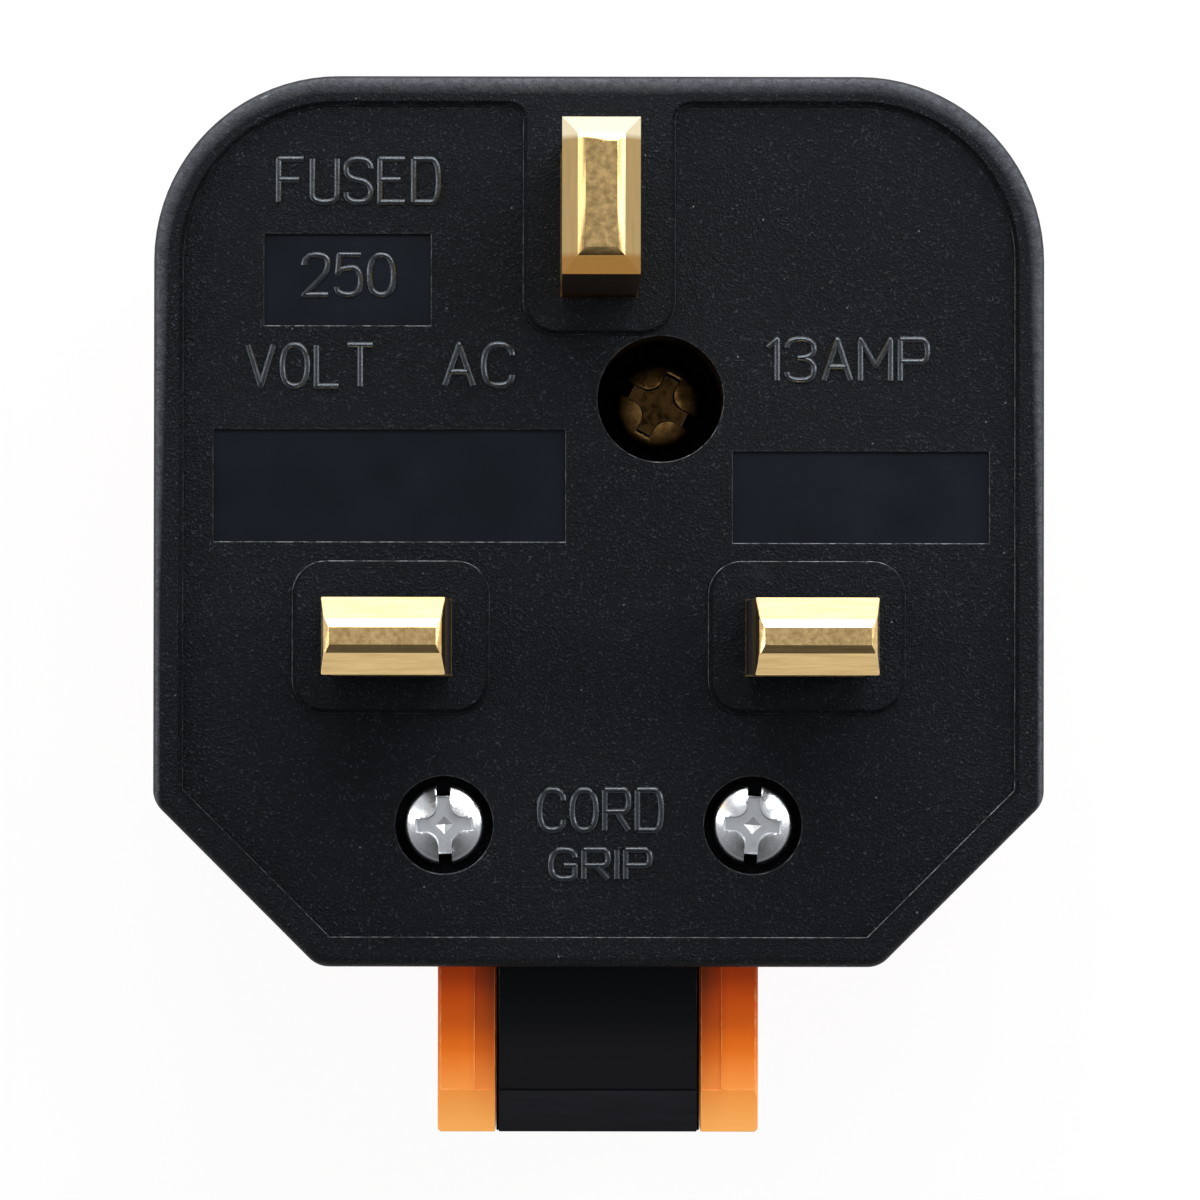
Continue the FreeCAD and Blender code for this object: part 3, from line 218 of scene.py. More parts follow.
def grained_black():
    """Black moulding with an eroded grain, smooth panels and tongue, edges rubbed and painted pale as
    highlights, and painted light and shade on the rim and tongue.
    """
    finish = Finish("grained_black")
    panel = finish.near(finish.along("Z"), PANEL, 0.06 * MM)
    tongue = finish.math("LESS_THAN", finish.along("Y"), BOTTOM_EDGE - 0.1 * MM)
    smooth = finish.math("MAXIMUM", panel, tongue)
    grainy = finish.math("SUBTRACT", 1.0, smooth)
    grain = finish.noise(GRAIN, 2.0, 0.7)
    # The field
    colour = finish.blend(finish.noise(6 * MM, 3.0), *BLACK)
    peaks = finish.times(finish.spread(grain, 0.6, 0.74), grainy)
    colour = finish.blend(peaks, colour, GRAIN_PEAK)
    smoky = finish.blend(finish.noise(3 * MM, 3.0), *PANEL_BLACK)
    colour = finish.blend(panel, colour, smoky)
    scuffs = finish.spread(finish.noise(2.6 * MM, 6.0, 0.72, finish.stretched(0.5, 1.0, 1.0)), 0.66, 0.74)
    colour = finish.blend(finish.times(scuffs, 0.35), colour, SCUFF)
    # Painted highlights on the rim and on edges that face the lamps, broken up as if worn
    wear_and_highlight_breakup = finish.noise(0.4 * MM, 4.0, 0.7)
    wear_and_sheen_patches = finish.spread(wear_and_highlight_breakup, 0.35, 0.65, 0.45, 1.0)
    # The rim's outer band is painted pale as a painted highlight
    colour = finish.blend(finish.times(rim_highlight_band(finish), wear_and_sheen_patches), colour, RIM_PAINTED_HIGHLIGHT)
    broken = finish.spread(wear_and_highlight_breakup, 0.42, 0.6, 0.15, 1.0)
    # Rounded edges painted pale by the way they face: painted highlight, broken up as if worn
    edges = finish.times(finish.attribute("worn"), finish.tilt(EDGE_HIGHLIGHT_FACING, 0.1))
    colour = finish.blend(finish.times(edges, broken), colour, EDGE_WEAR_AND_HIGHLIGHT)
    # The tongue: painted shade near the base, streaks and painted light beyond its crease, and a painted
    # shade line along the crease
    clear_of_base_shade = finish.spread(finish.along("Y"), BOTTOM_EDGE - 1.5 * MM, BOTTOM_EDGE - 4 * MM)
    # Painted shade: the tongue keeps the darker black near the base, where the base's overhang shades it
    colour = finish.blend(finish.times(clear_of_base_shade, tongue), colour, TONGUE_BLACK)
    end_wear_and_painted_light = finish.spread(finish.along("Y"), TONGUE_CREASE + 0.05 * MM, TONGUE_CREASE, 0.0, 0.4)
    streaks = finish.noise(0.3 * MM, 3.0, 0.6, finish.stretched(0.12, 1.0, 1.0))
    # Beyond the crease the tongue is painted lighter in streaks: handling marks, and painted light
    colour = finish.blend(finish.times(end_wear_and_painted_light, streaks), colour, TONGUE_END_WEAR_AND_LIGHT)
    crease = finish.near(finish.along("Y"), TONGUE_CREASE, 0.06 * MM)
    # Painted shade: a dark line along the tongue's crease
    colour = finish.blend(finish.times(crease, tongue), colour, CREASE_PAINTED_SHADE)
    dust = finish.specks(1.2 * MM, 0.05 * MM, 0.4)
    colour = finish.blend(finish.times(dust, grainy), colour, DUST)
    # Gloss and relief
    roughness = finish.spread(grain, 0.3, 0.7, 0.34, 0.46)
    roughness = finish.times(roughness, finish.spread(smooth, 0.0, 1.0, 1.0, 0.8))
    normal = finish.bump(finish.times(grain, grainy), GRAIN)
    scored = finish.times(streaks, finish.spread(smooth, 0.0, 1.0, 0.1, 1.0))
    normal = finish.bump(scored, 0.006 * MM, 0.6, normal)
    finish.shade(Specular_IOR_Level=0.11, Specular_Tint=(0.8, 0.89, 1.0, 1.0))
    return finish.shade(Base_Color=colour, Roughness=roughness, Normal=normal)


def letter_black():
    """The same black where the mould was cut smooth, on the raised letters."""
    finish = Finish("letter_black")
    clouds = finish.noise(0.3 * MM, 3.0)
    colour = finish.blend(clouds, *LETTER_BLACK)
    roughness = finish.spread(clouds, 0.3, 0.7, 0.16, 0.34)
    normal = finish.bump(finish.noise(0.12 * MM, 2.0), 0.01 * MM, 0.6)
    finish.shade(Specular_IOR_Level=0.8, Specular_Tint=(0.8, 0.9, 1.0, 1.0))
    return finish.shade(Base_Color=colour, Roughness=roughness, Normal=normal)


# Colours of the orange moulding: the plain tones, soil, painted shade at the collar's root and on the strips
# beside the tongue, the collar's end painted lighter with handling wear, and its rubbed edges
ORANGE = ((0.65, 0.122, 0.005), (0.71, 0.152, 0.008))
ORANGE_SOIL = (0.45, 0.09, 0.012)
# Painted shade at the collar's root
ROOT_SHADE_ORANGE = (0.95, 0.085, 0.001)
# Painted shade on the strips beside the tongue
STRIP_SHADE_ORANGE = (0.3, 0.04, 0.004)
ORANGE_END_WEAR_AND_LIGHT = (0.9, 0.425, 0.11)
RUBBED_ORANGE = (0.9, 0.36, 0.09)


def orange_moulding():
    """Bright orange plastic with flow marks, a faint orange-peel and rubbed edges."""
    finish = Finish("orange_moulding")
    flow = finish.noise(4 * MM, 3.0, 0.55, finish.stretched(1.0, 0.35, 1.0))
    colour = finish.blend(flow, *ORANGE)
    soil_and_recess_shade = finish.spread(finish.noise(1.6 * MM, 4.0, 0.65), 0.62, 0.8)
    colour = finish.blend(finish.times(soil_and_recess_shade, 0.25), colour, ORANGE_SOIL)
    # The collar: painted shade, deep orange, at its root under the base's overhang, and painted lighter
    # towards its end, partly as handling wear
    along = finish.along("Y")
    root = finish.times(
        finish.spread(along, BOTTOM_EDGE - 4.5 * MM, BOTTOM_EDGE),
        finish.spread(along, BOTTOM_EDGE + 2 * MM, BOTTOM_EDGE),
    )
    # Painted shade: deep red orange at the collar's root, under the base's overhang
    colour = finish.blend(root, colour, ROOT_SHADE_ORANGE)
    end_wear_and_painted_light = finish.spread(along, BOTTOM_EDGE - 4.6 * MM, COLLAR_END, 0.0, 0.9)
    # The collar painted lighter towards its end: painted light and sheen, and handling wear
    colour = finish.blend(end_wear_and_painted_light, colour, ORANGE_END_WEAR_AND_LIGHT)
    # Painted shade on the up-facing strips beside the tongue, fading towards the collar's end
    beside = finish.spread(finish.math("ABSOLUTE", finish.along("X")), 7.1 * MM, 5.8 * MM)
    fading = finish.spread(along, COLLAR_END + 0.5 * MM, BOTTOM_EDGE - 1 * MM, 0.08, 0.95)
    strip = finish.times(finish.times(beside, finish.faces_up()), fading)
    colour = finish.blend(strip, colour, STRIP_SHADE_ORANGE)
    wear_and_sheen_patches = finish.spread(finish.noise(0.7 * MM, 4.0, 0.7), 0.4, 0.7)
    colour = finish.blend(finish.times(finish.attribute("worn"), wear_and_sheen_patches), colour, RUBBED_ORANGE)
    # Gloss and relief
    scratches = finish.noise(0.16 * MM, 3.0, 0.6, finish.stretched(1.0, 0.06, 1.0))
    roughness = finish.spread(finish.math("ADD", flow, scratches), 0.6, 1.4, 0.28, 0.42)
    normal = finish.bump(finish.noise(0.9 * MM, 2.0), 0.012 * MM, 0.35)
    normal = finish.bump(scratches, 0.004 * MM, 0.4, normal)
    return finish.shade(Base_Color=colour, Roughness=roughness, Normal=normal, Specular_IOR_Level=0.16)


# The earth pin's end: a brown painted reflection along its lower bevel, a painted highlight along its upper
# one, each fading over a line
PAINTED_REFLECTION_BROWN = (0.34, 0.16, 0.032)
PAINTED_HIGHLIGHT_CREAM = (0.86, 0.74, 0.5)
FADE = 0.3 * MM


def metal(
    name,
    bright,
    dull,
    rough,
    mottle,
    tones=(0.55, 0.95),
    milled=None,
    soil_and_recess_shade=None,
    edges=None,
    painted_reflection_below=None,
    polished=None,
):
    """Bare metal of two tones: mottled where it faces up, elsewhere finely drawn or milled along an axis.

    Painted shade darkens the cut faces of screw recesses marked for it, edges take the worn colour. A painted
    brown reflection lies below one height on the face, a painted highlight above another, on the end of the
    earth pin.
    """
    finish = Finish(name)
    patches = finish.noise(mottle, 4.0, 0.6)
    drawn = finish.noise(0.09 * MM, 3.0, 0.6, finish.stretched(1.0, 1.0, 0.05))
    drawn_tone = finish.spread(drawn, 0.2, 0.8, *tones)
    if milled:
        marks = finish.noise(0.2 * MM, 3.0, 0.6, finish.stretched(*milled))
        drawn_tone = finish.spread(marks, 0.3, 0.7, *tones)
    mottled = finish.spread(patches, 0.35, 0.65)
    tone = finish.node("ShaderNodeMix", {0: finish.faces_up(), 2: drawn_tone, 3: mottled}).outputs[0]
    colour = finish.blend(tone, dull, bright)
    recess_shaded = 0.0
    # Painted shade: cut faces of a screw's recess and notches take a darker colour
    if soil_and_recess_shade:
        uneven = finish.spread(patches, 0.35, 0.65, 0.5, 0.95)
        recess_shaded = finish.times(finish.attribute("recess_shaded"), uneven)
        colour = finish.blend(recess_shaded, colour, soil_and_recess_shade)
    if edges:
        colour = finish.blend(finish.attribute("worn"), colour, edges)
    if painted_reflection_below:
        # Painted reflection: the earth pin's lower side browned where it mirrors the black face
        painted_reflection = finish.spread(finish.along("Y"), painted_reflection_below, painted_reflection_below - FADE, 0.0, 0.9)
        colour = finish.blend(painted_reflection, colour, PAINTED_REFLECTION_BROWN)
    if polished:
        # Painted highlight: the earth pin's upper bevel made pale cream
        painted_highlight = finish.spread(finish.along("Y"), polished, polished + FADE)
        at_end = finish.math("GREATER_THAN", finish.along("Z"), EARTH_END - EARTH_BEVEL)
        colour = finish.blend(finish.times(painted_highlight, at_end), colour, PAINTED_HIGHLIGHT_CREAM)
    roughness = finish.spread(finish.math("ADD", patches, drawn), 0.6, 1.4, rough[0], rough[1])
    roughness = finish.math("MULTIPLY_ADD", recess_shaded, 0.2, roughness)
    normal = finish.bump(drawn, 0.004 * MM, 0.35)
    normal = finish.bump(finish.noise(0.3 * MM, 3.0), 0.006 * MM, 0.4, normal)
    return finish.shade(Base_Color=colour, Metallic=1.0, Roughness=roughness, Normal=normal)


def plain_moulding(name, dark, light, rough, grain):
    """A plain moulded or pressed finish with a little grain, for the inner pieces."""
    finish = Finish(name)
    patches = finish.noise(1.5 * MM, 4.0, 0.6)
    colour = finish.blend(patches, dark, light)
    roughness = finish.spread(patches, 0.3, 0.7, rough - 0.06, rough + 0.06)
    normal = finish.bump(finish.noise(grain, 3.0), 0.01 * MM, 0.5)
    return finish.shade(Base_Color=colour, Roughness=roughness, Normal=normal)


black = grained_black()
black_letters = letter_black()
orange = orange_moulding()
brass = metal(
    "drawn_brass",
    bright=(0.78, 0.56, 0.26),
    dull=(0.48, 0.32, 0.13),
    rough=(0.15, 0.27),
    mottle=0.3 * MM,
    tones=(0.4, 1.0),
    milled=(0.06, 1.0, 0.06),
)
earth_brass = metal(
    "drawn_earth_brass",
    bright=(0.66, 0.46, 0.2),
    dull=(0.4, 0.27, 0.11),
    rough=(0.15, 0.27),
    mottle=0.35 * MM,
    tones=(0.0, 0.25),
    milled=(1.0, 0.06, 0.06),
    painted_reflection_below=EARTH_LOW_EDGE + 1.1 * MM,
    polished=EARTH_TOP_EDGE - 1.2 * MM,
)
dull_brass = metal(
    "dull_brass",
    bright=(0.3, 0.17, 0.055),
    dull=(0.12, 0.06, 0.018),
    rough=(0.12, 0.24),
    mottle=0.5 * MM,
    # Near-black painted shade in the cover screw's recess
    soil_and_recess_shade=(0.016, 0.008, 0.003),
    edges=(0.9, 0.76, 0.48),
)
zinc = metal(
    "zinc_plate",
    bright=(0.86, 0.88, 0.92),
    dull=(0.66, 0.69, 0.73),
    rough=(0.14, 0.3),
    mottle=0.6 * MM,
    # Painted shade in the grip screws' recesses
    soil_and_recess_shade=(0.5, 0.52, 0.55),
    edges=(0.96, 0.97, 0.98),
)
bronze = metal("spring_bronze", (0.74, 0.46, 0.22), (0.56, 0.33, 0.15), (0.2, 0.36), 0.8 * MM)
nickel = metal("nickel_plate", (0.74, 0.72, 0.68), (0.6, 0.58, 0.54), (0.16, 0.3), 0.9 * MM)
sleeve_black = plain_moulding("sleeve_black", (0.008, 0.008, 0.009), (0.014, 0.014, 0.016), 0.4, 0.4 * MM)
bar_black = plain_moulding("bar_black", (0.012, 0.012, 0.014), (0.022, 0.022, 0.025), 0.5, 0.3 * MM)
ceramic = plain_moulding("fuse_ceramic", (0.78, 0.74, 0.66), (0.86, 0.83, 0.76), 0.55, 0.2 * MM)
fibre = plain_moulding("red_fibre", (0.2, 0.035, 0.02), (0.3, 0.06, 0.035), 0.75, 0.15 * MM)


def add_piece(name, mesh, material):
    """Puts a finished mesh into the scene, riding on the plug."""
    piece = bpy.data.objects.new(name, mesh)
    scene.collection.objects.link(piece)
    mesh.materials.clear()
    mesh.materials.append(material)
    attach(piece, "root")
    return piece


def as_mesh(name, shape):
    """Makes a mesh of a bmesh, which ends with it."""
    mesh = bpy.data.meshes.new(name)
    shape.to_mesh(mesh)
    shape.free()
    return mesh


def finished_mesh(name, shape, smooth_below=35):
    """Makes a mesh of a bmesh, smooth across edges flatter than an angle in degrees."""
    limit = math.radians(smooth_below)
    for edge in shape.edges:
        edge.smooth = edge.is_manifold and edge.calc_face_angle(0.0) < limit
    for face in shape.faces:
        face.smooth = True
    return as_mesh(name, shape)


def round_off(shape, edges, width):
    """Rounds edges of a bmesh and gives the faces of the rounding."""
    rounded = bmesh.ops.bevel(
        shape,
        geom=edges,
        offset=width,
        offset_type="OFFSET",
        affect="EDGES",
        segments=2,
        profile=0.5,
        material=-1,
        clamp_overlap=True,
    )
    return rounded["faces"]


def stand_for(node, name, shape, material):
    """Puts a shape into the scene in a node's stead, its flat faces shaded flat between round edges."""
    piece = add_piece(name, finished_mesh(name, shape), material)
    flats = piece.modifiers.new("flat_faces_stay_flat", "WEIGHTED_NORMAL")
    flats.keep_sharp = True
    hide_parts(node)


def softened_copy(node, name, material, slot, *passes):
    """Replaces a node by a copy with rounded convex edges, marked as worn, in passes of (width, wanted)."""
    shape = bmesh.new()
    shape.from_mesh(nodes[node].data)
    bmesh.ops.remove_doubles(shape, verts=shape.verts, dist=0.002 * MM)
    bmesh.ops.dissolve_limit(shape, angle_limit=math.radians(0.5), verts=shape.verts, edges=shape.edges)
    worn = shape.faces.layers.float.new("worn")
    for width, wanted in passes:
        edges = [e for e in shape.edges if e.is_convex and wanted(e, math.degrees(e.calc_face_angle(0.0)))]
        for face in round_off(shape, edges, width):
            face[worn] = 1.0
    stand_for(node, name, shape, material)


# Angles in degrees across an edge, from which it counts as the edge of a slope or of a step
SLOPE = 8
STEP = 20

# Slack in looking for a level or a line, and the most that a level edge rises
SLACK = 0.05 * MM
LEVEL_RISE = 0.001 * MM
END_RISE = 0.02 * MM

# Where finger ridges, bare blades beyond their sleeves and pins' ends begin, and a long corner's least rise
RIDGES_BESIDE = 23.2 * MM
BLADES_ABOVE = FACE + 9.3 * MM
PIN_ENDS_ABOVE = FACE + 15 * MM
LONG_RISE = 0.5 * MM


def middle(edge):
    return (edge.verts[0].co + edge.verts[1].co) / 2


def rise(edge):
    return abs(edge.verts[0].co.z - edge.verts[1].co.z)


def on_plug_face(edge, angle):
    """Level edges of the face, its holes and panels, and all of the tongue's but its crease."""
    spot = middle(edge)
    on_face = rise(edge) < LEVEL_RISE and FIELD - SLACK < spot.z < FACE - SLACK and angle > STEP
    on_tongue = spot.y < BOTTOM_EDGE - 0.01 * MM and angle > SLOPE
    off_crease = abs(spot.y - TONGUE_CREASE) > 0.1 * MM
    return on_face or (on_tongue and off_crease)


def on_collar_or_ridges(edge, angle):
    """Edges of the collar and of the finger ridges."""
    spot = middle(edge)
    on_collar = spot.y < BOTTOM_EDGE - SLACK and angle > SLOPE
    on_ridges = abs(spot.x) > RIDGES_BESIDE and angle > STEP
    return on_collar or on_ridges


def on_blade_corner(edge, angle):
    """Long corners of a lower pin beyond its sleeve, up to its flat end."""
    return middle(edge).z > BLADES_ABOVE and rise(edge) > LONG_RISE and angle > SLOPE


def on_earth_corner(edge, angle):
    """Long corners of the earth pin, from the face up to its flat end."""
    return middle(edge).z > FACE + 0.1 * MM and rise(edge) > LONG_RISE and angle > SLOPE


def on_pin_end(edge, angle):
    """Level edges of a pin's bevelled end."""
    return middle(edge).z > PIN_ENDS_ABOVE and rise(edge) < END_RISE and angle > SLOPE


# How far the edges are rounded
BASE_EDGE = 0.09 * MM
COVER_EDGE = 0.07 * MM
PIN_CORNER = 0.18 * MM
PIN_END = 0.04 * MM

softened_copy("base", "base_moulding", black, "black_plastic", (BASE_EDGE, on_plug_face))
softened_copy("cover", "cover_moulding", orange, "orange_plastic", (COVER_EDGE, on_collar_or_ridges))
for pin, material, on_corner in (
    ("live_pin", brass, on_blade_corner),
    ("neutral_pin", brass, on_blade_corner),
    ("earth_pin", earth_brass, on_earth_corner),
):
    roundings = ((PIN_CORNER, on_corner), (PIN_END, on_pin_end))
    softened_copy(pin, f"{pin}_blade", material, "pin_brass", *roundings)

for node, material in (
    ("live_pin_sleeve", sleeve_black),
    ("neutral_pin_sleeve", sleeve_black),
    ("live_terminal", brass),
    ("live_pin_fuse_clip", bronze),
    ("live_terminal_fuse_clip", bronze),
    ("fuse_barrel", ceramic),
    ("fuse_cap_lower", nickel),
    ("fuse_cap_upper", nickel),
    ("terminal_screws", dull_brass),
    ("cord_grip_bar", bar_black),
    ("cord_grip_nuts", zinc),
    ("cover_screw_insert", dull_brass),
    ("cover_screw_washer", fibre),
):
    nodes[node].data.materials.clear()
    nodes[node].data.materials.append(material)


def turned(profile, steps):
    """A closed turned shape from the (radius, height) points of its outline, both ends on the axis."""
    shape = bmesh.new()
    points = [shape.verts.new((radius, 0, height)) for radius, height in profile]
    edges = [shape.edges.new(pair) for pair in zip(points, points[1:])]
    bmesh.ops.spin(
        shape,
        geom=points + edges,
        axis=(0, 0, 1),
        cent=(0, 0, 0),
        angle=math.tau,
        steps=steps,
        use_merge=True,
    )
    bmesh.ops.remove_doubles(shape, verts=shape.verts, dist=0.001 * MM)
    bmesh.ops.recalc_face_normals(shape, faces=shape.faces)
    return shape


def arc(middle_radius, middle_height, radius, start, stop, count):
    """Points of a round stretch of an outline, angles in degrees from the radius axis."""
    angles = [math.radians(start + (stop - start) * i / count) for i in range(count + 1)]
    return [(middle_radius + radius * math.cos(a), middle_height + radius * math.sin(a)) for a in angles]


# Thread of the screws, and the steps that they are turned in
THREAD = 3.0 * MM
THREAD_DEPTH = 0.25 * MM
THREAD_PITCH = 0.5 * MM
TURNED_STEPS = 48

# Shares of a screw head's height: the rounding of its rim, and the depth of its cross
RIM_ROUNDING = 0.22
CROSS_DEPTH = 0.34

# Shares of a screw head's breadth: its notches for a blade, and the arms of its cross
NOTCH_BREADTH = 0.17
NOTCH_INNER = 0.36
NOTCH_OUTER = 0.6
CROSS_REACH = 0.4
CROSS_BREADTH = 0.18

# Shares of the cross: the hollow of its flanks, and its floor against its mouth
CROSS_HOLLOW = 0.62
CROSS_TAPER = 0.84

# How far the cutters of a recess stand out of the metal
CUTTER_EXCESS = 0.3 * MM


def screw_blank(head, height, dome, length):
    """Pan head with a dome of its own height over a threaded shank, its seat at height zero."""
    half = head / 2
    edge = height * RIM_ROUNDING
    dome_radius = ((half - edge) ** 2 + dome**2) / (2 * dome)
    spread = math.degrees(math.asin((half - edge) / dome_radius))
    outline = arc(0, height - dome_radius, dome_radius, 90, 90 - spread, 8)
    outline[0] = (0.0, height)
    outline += arc(half - edge, height - dome - edge, edge, 90 - spread, 0, 5)[1:]
    outline.append((half, 0.0))
    crest = THREAD / 2
    root = crest - THREAD_DEPTH
    outline.append((root, 0.0))
    for turn in range(int(length / THREAD_PITCH) - 1):
        outline.append((root, -THREAD_PITCH * (turn + 0.55)))
        outline.append((crest, -THREAD_PITCH * (turn + 0.8)))
        outline.append((root, -THREAD_PITCH * (turn + 1.05)))
    outline.append((root * 0.8, -length))
    outline.append((0.0, -length))
    return turned(outline, TURNED_STEPS)


def cross_recess(reach, width, depth, top):
    """Tapered cross with hollow flanks, to be cut out of a screw head."""
    shape = bmesh.new()
    half = width / 2
    corners = []
    for quarter in range(4):
        turn = Matrix.Rotation(math.radians(90 * quarter), 3, "Z")
        for spot in ((reach, -half, 0), (reach, half, 0), (half, half, 0)):
            corners.append(shape.verts.new(turn @ Vector(spot)))
    shape.faces.new(corners)
    inner = [corners[3 * quarter + 2] for quarter in range(4)]
    bmesh.ops.bevel(
        shape,
        geom=inner,
        offset=(reach - half) * CROSS_HOLLOW,
        offset_type="OFFSET",
        affect="VERTICES",
        segments=5,
        profile=0.5,
        material=-1,
    )
    face = max(shape.faces, key=lambda f: f.calc_area())
    bmesh.ops.translate(shape, verts=shape.verts, vec=(0, 0, top + CUTTER_EXCESS))
    floor = bmesh.ops.extrude_face_region(shape, geom=[face])["geom"]
    lowered = [part for part in floor if isinstance(part, bmesh.types.BMVert)]
    bmesh.ops.translate(shape, verts=lowered, vec=(0, 0, -depth - CUTTER_EXCESS))
    bmesh.ops.scale(shape, verts=lowered, vec=(CROSS_TAPER, CROSS_TAPER, 1))
    bmesh.ops.recalc_face_normals(shape, faces=shape.faces)
    return shape


def driver_pit(reach, low, high):
    """Four-sided point in the middle of a cross recess, its corners along the arms."""
    shape = bmesh.new()
    bmesh.ops.create_cone(shape, cap_ends=True, segments=4, radius1=0, radius2=reach, depth=high - low)
    bmesh.ops.translate(shape, verts=shape.verts, vec=(0, 0, (low + high) / 2))
    bmesh.ops.remove_doubles(shape, verts=shape.verts, dist=0.001 * MM)
    bmesh.ops.recalc_face_normals(shape, faces=shape.faces)
    return shape


def notch(width, inner, outer, low, high):
    """A block to be cut out of a head's rim, from an inner to an outer reach along Y."""
    shape = bmesh.new()
    bmesh.ops.create_cube(shape, size=1)
    bmesh.ops.scale(shape, verts=shape.verts, vec=(width, outer - inner, high - low))
    bmesh.ops.translate(shape, verts=shape.verts, vec=(0, (inner + outer) / 2, (low + high) / 2))
    return shape


def cut_out(whole, *cutters):
    """The mesh of one shape less the others, the cut faces marked by material index 1."""
    blank = bpy.data.objects.new("blank", as_mesh("blank", whole))
    scene.collection.objects.link(blank)
    for _ in range(2):
        blank.data.materials.append(None)
    tools = []
    for cutter in cutters:
        for face in cutter.faces:
            face.material_index = 1
        tool = bpy.data.objects.new("cutter", as_mesh("cutter", cutter))
        scene.collection.objects.link(tool)
        tools.append(tool)
        recess = blank.modifiers.new("recess", "BOOLEAN")
        recess.operation = "DIFFERENCE"
        recess.solver = "EXACT"
        recess.object = tool
    bpy.context.view_layer.update()
    result = bpy.data.meshes.new_from_object(blank.evaluated_get(bpy.context.evaluated_depsgraph_get()))
    for done in (blank, *tools):
        bpy.data.objects.remove(done)
    return result


def combination_screw(head, height, dome, length, *more_cuts):
    """Screw for a blade or a cross-point driver: a cross recess and a blade's notches in the rim."""
    width = head * NOTCH_BREADTH
    inner = head * NOTCH_INNER
    outer = head * NOTCH_OUTER
    low = -height * 0.1
    high = height * 1.4
    return cut_out(
        screw_blank(head, height, dome, length),
        notch(width, inner, outer, low, high),
        notch(width, -outer, -inner, low, high),
        cross_recess(head * CROSS_REACH, head * CROSS_BREADTH, height * CROSS_DEPTH, height),
        *more_cuts,
    )


def rounded_screw(name, screw, width):
    """A screw's mesh with its head's sharp edges rounded and marked as worn, its cut faces marked for painted
    shade.
    """
    shape = bmesh.new()
    shape.from_mesh(screw)
    bmesh.ops.remove_doubles(shape, verts=shape.verts, dist=0.002 * MM)
    limit = math.radians(30)
    sharp = [e for e in shape.edges if middle(e).z > SLACK and e.calc_face_angle(0.0) > limit]
    worn = shape.faces.layers.float.new("worn")
    recess_shaded = shape.faces.layers.float.new("recess_shaded")
    edges = round_off(shape, sharp, width)
    # Cut faces are marked for painted shade in the recess
    for face in shape.faces:
        face[recess_shaded] = float(face.material_index)
        face.material_index = 0
    for face in edges:
        face[worn] = 1.0
        face[recess_shaded] = 0.0
    return as_mesh(name, shape)


def set_screws(name, node, screw, places, material):
    """One piece of equal screws in a node's stead, placed at (x, y, seat) and turned by degrees."""
    shape = bmesh.new()
    for spot, angle in places:
        first = len(shape.verts)
        shape.from_mesh(screw)
        shape.verts.ensure_lookup_table()
        added = shape.verts[first:]
        bmesh.ops.rotate(shape, verts=added, matrix=Matrix.Rotation(math.radians(angle), 3, "Z"))
        bmesh.ops.translate(shape, verts=added, vec=spot)
    stand_for(node, name, shape, material)


# Cord grip screws, their slots nearly upright
GRIP_HEAD = 4.3 * MM
GRIP_HEAD_HEIGHT = 1.6 * MM
GRIP_DOME = 0.38 * MM
GRIP_EDGE = 0.05 * MM
low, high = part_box("cord_grip_screws")
grip_seat = high.z - GRIP_HEAD_HEIGHT
grip_x = high.x - GRIP_HEAD / 2
grip_y = (low.y + high.y) / 2
pit = driver_pit(GRIP_HEAD * 0.14, GRIP_HEAD_HEIGHT * 0.52, GRIP_HEAD_HEIGHT * 0.7)
grip_screw = combination_screw(GRIP_HEAD, GRIP_HEAD_HEIGHT, GRIP_DOME, grip_seat - low.z, pit)
grip_screw = rounded_screw("cord_grip_screw_pair", grip_screw, GRIP_EDGE)
grip_places = (((-grip_x, grip_y, grip_seat), 2), ((grip_x, grip_y, grip_seat), -4))
set_screws("cord_grip_screw_pair", "cord_grip_screws", grip_screw, grip_places, zinc)

# Cover screw, deep in its well
COVER_HEAD_HEIGHT = 2.0 * MM
COVER_DOME = 0.16 * MM
COVER_SCREW_EDGE = 0.08 * MM
low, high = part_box("cover_screw")
cover_seat = high.z - COVER_HEAD_HEIGHT
cover_screw = combination_screw(high.x - low.x, COVER_HEAD_HEIGHT, COVER_DOME, cover_seat - low.z)
cover_screw = rounded_screw("cover_screw_brass", cover_screw, COVER_SCREW_EDGE)
cover_places = ((((low.x + high.x) / 2, (low.y + high.y) / 2, cover_seat), 62),)
set_screws("cover_screw_brass", "cover_screw", cover_screw, cover_places, dull_brass)

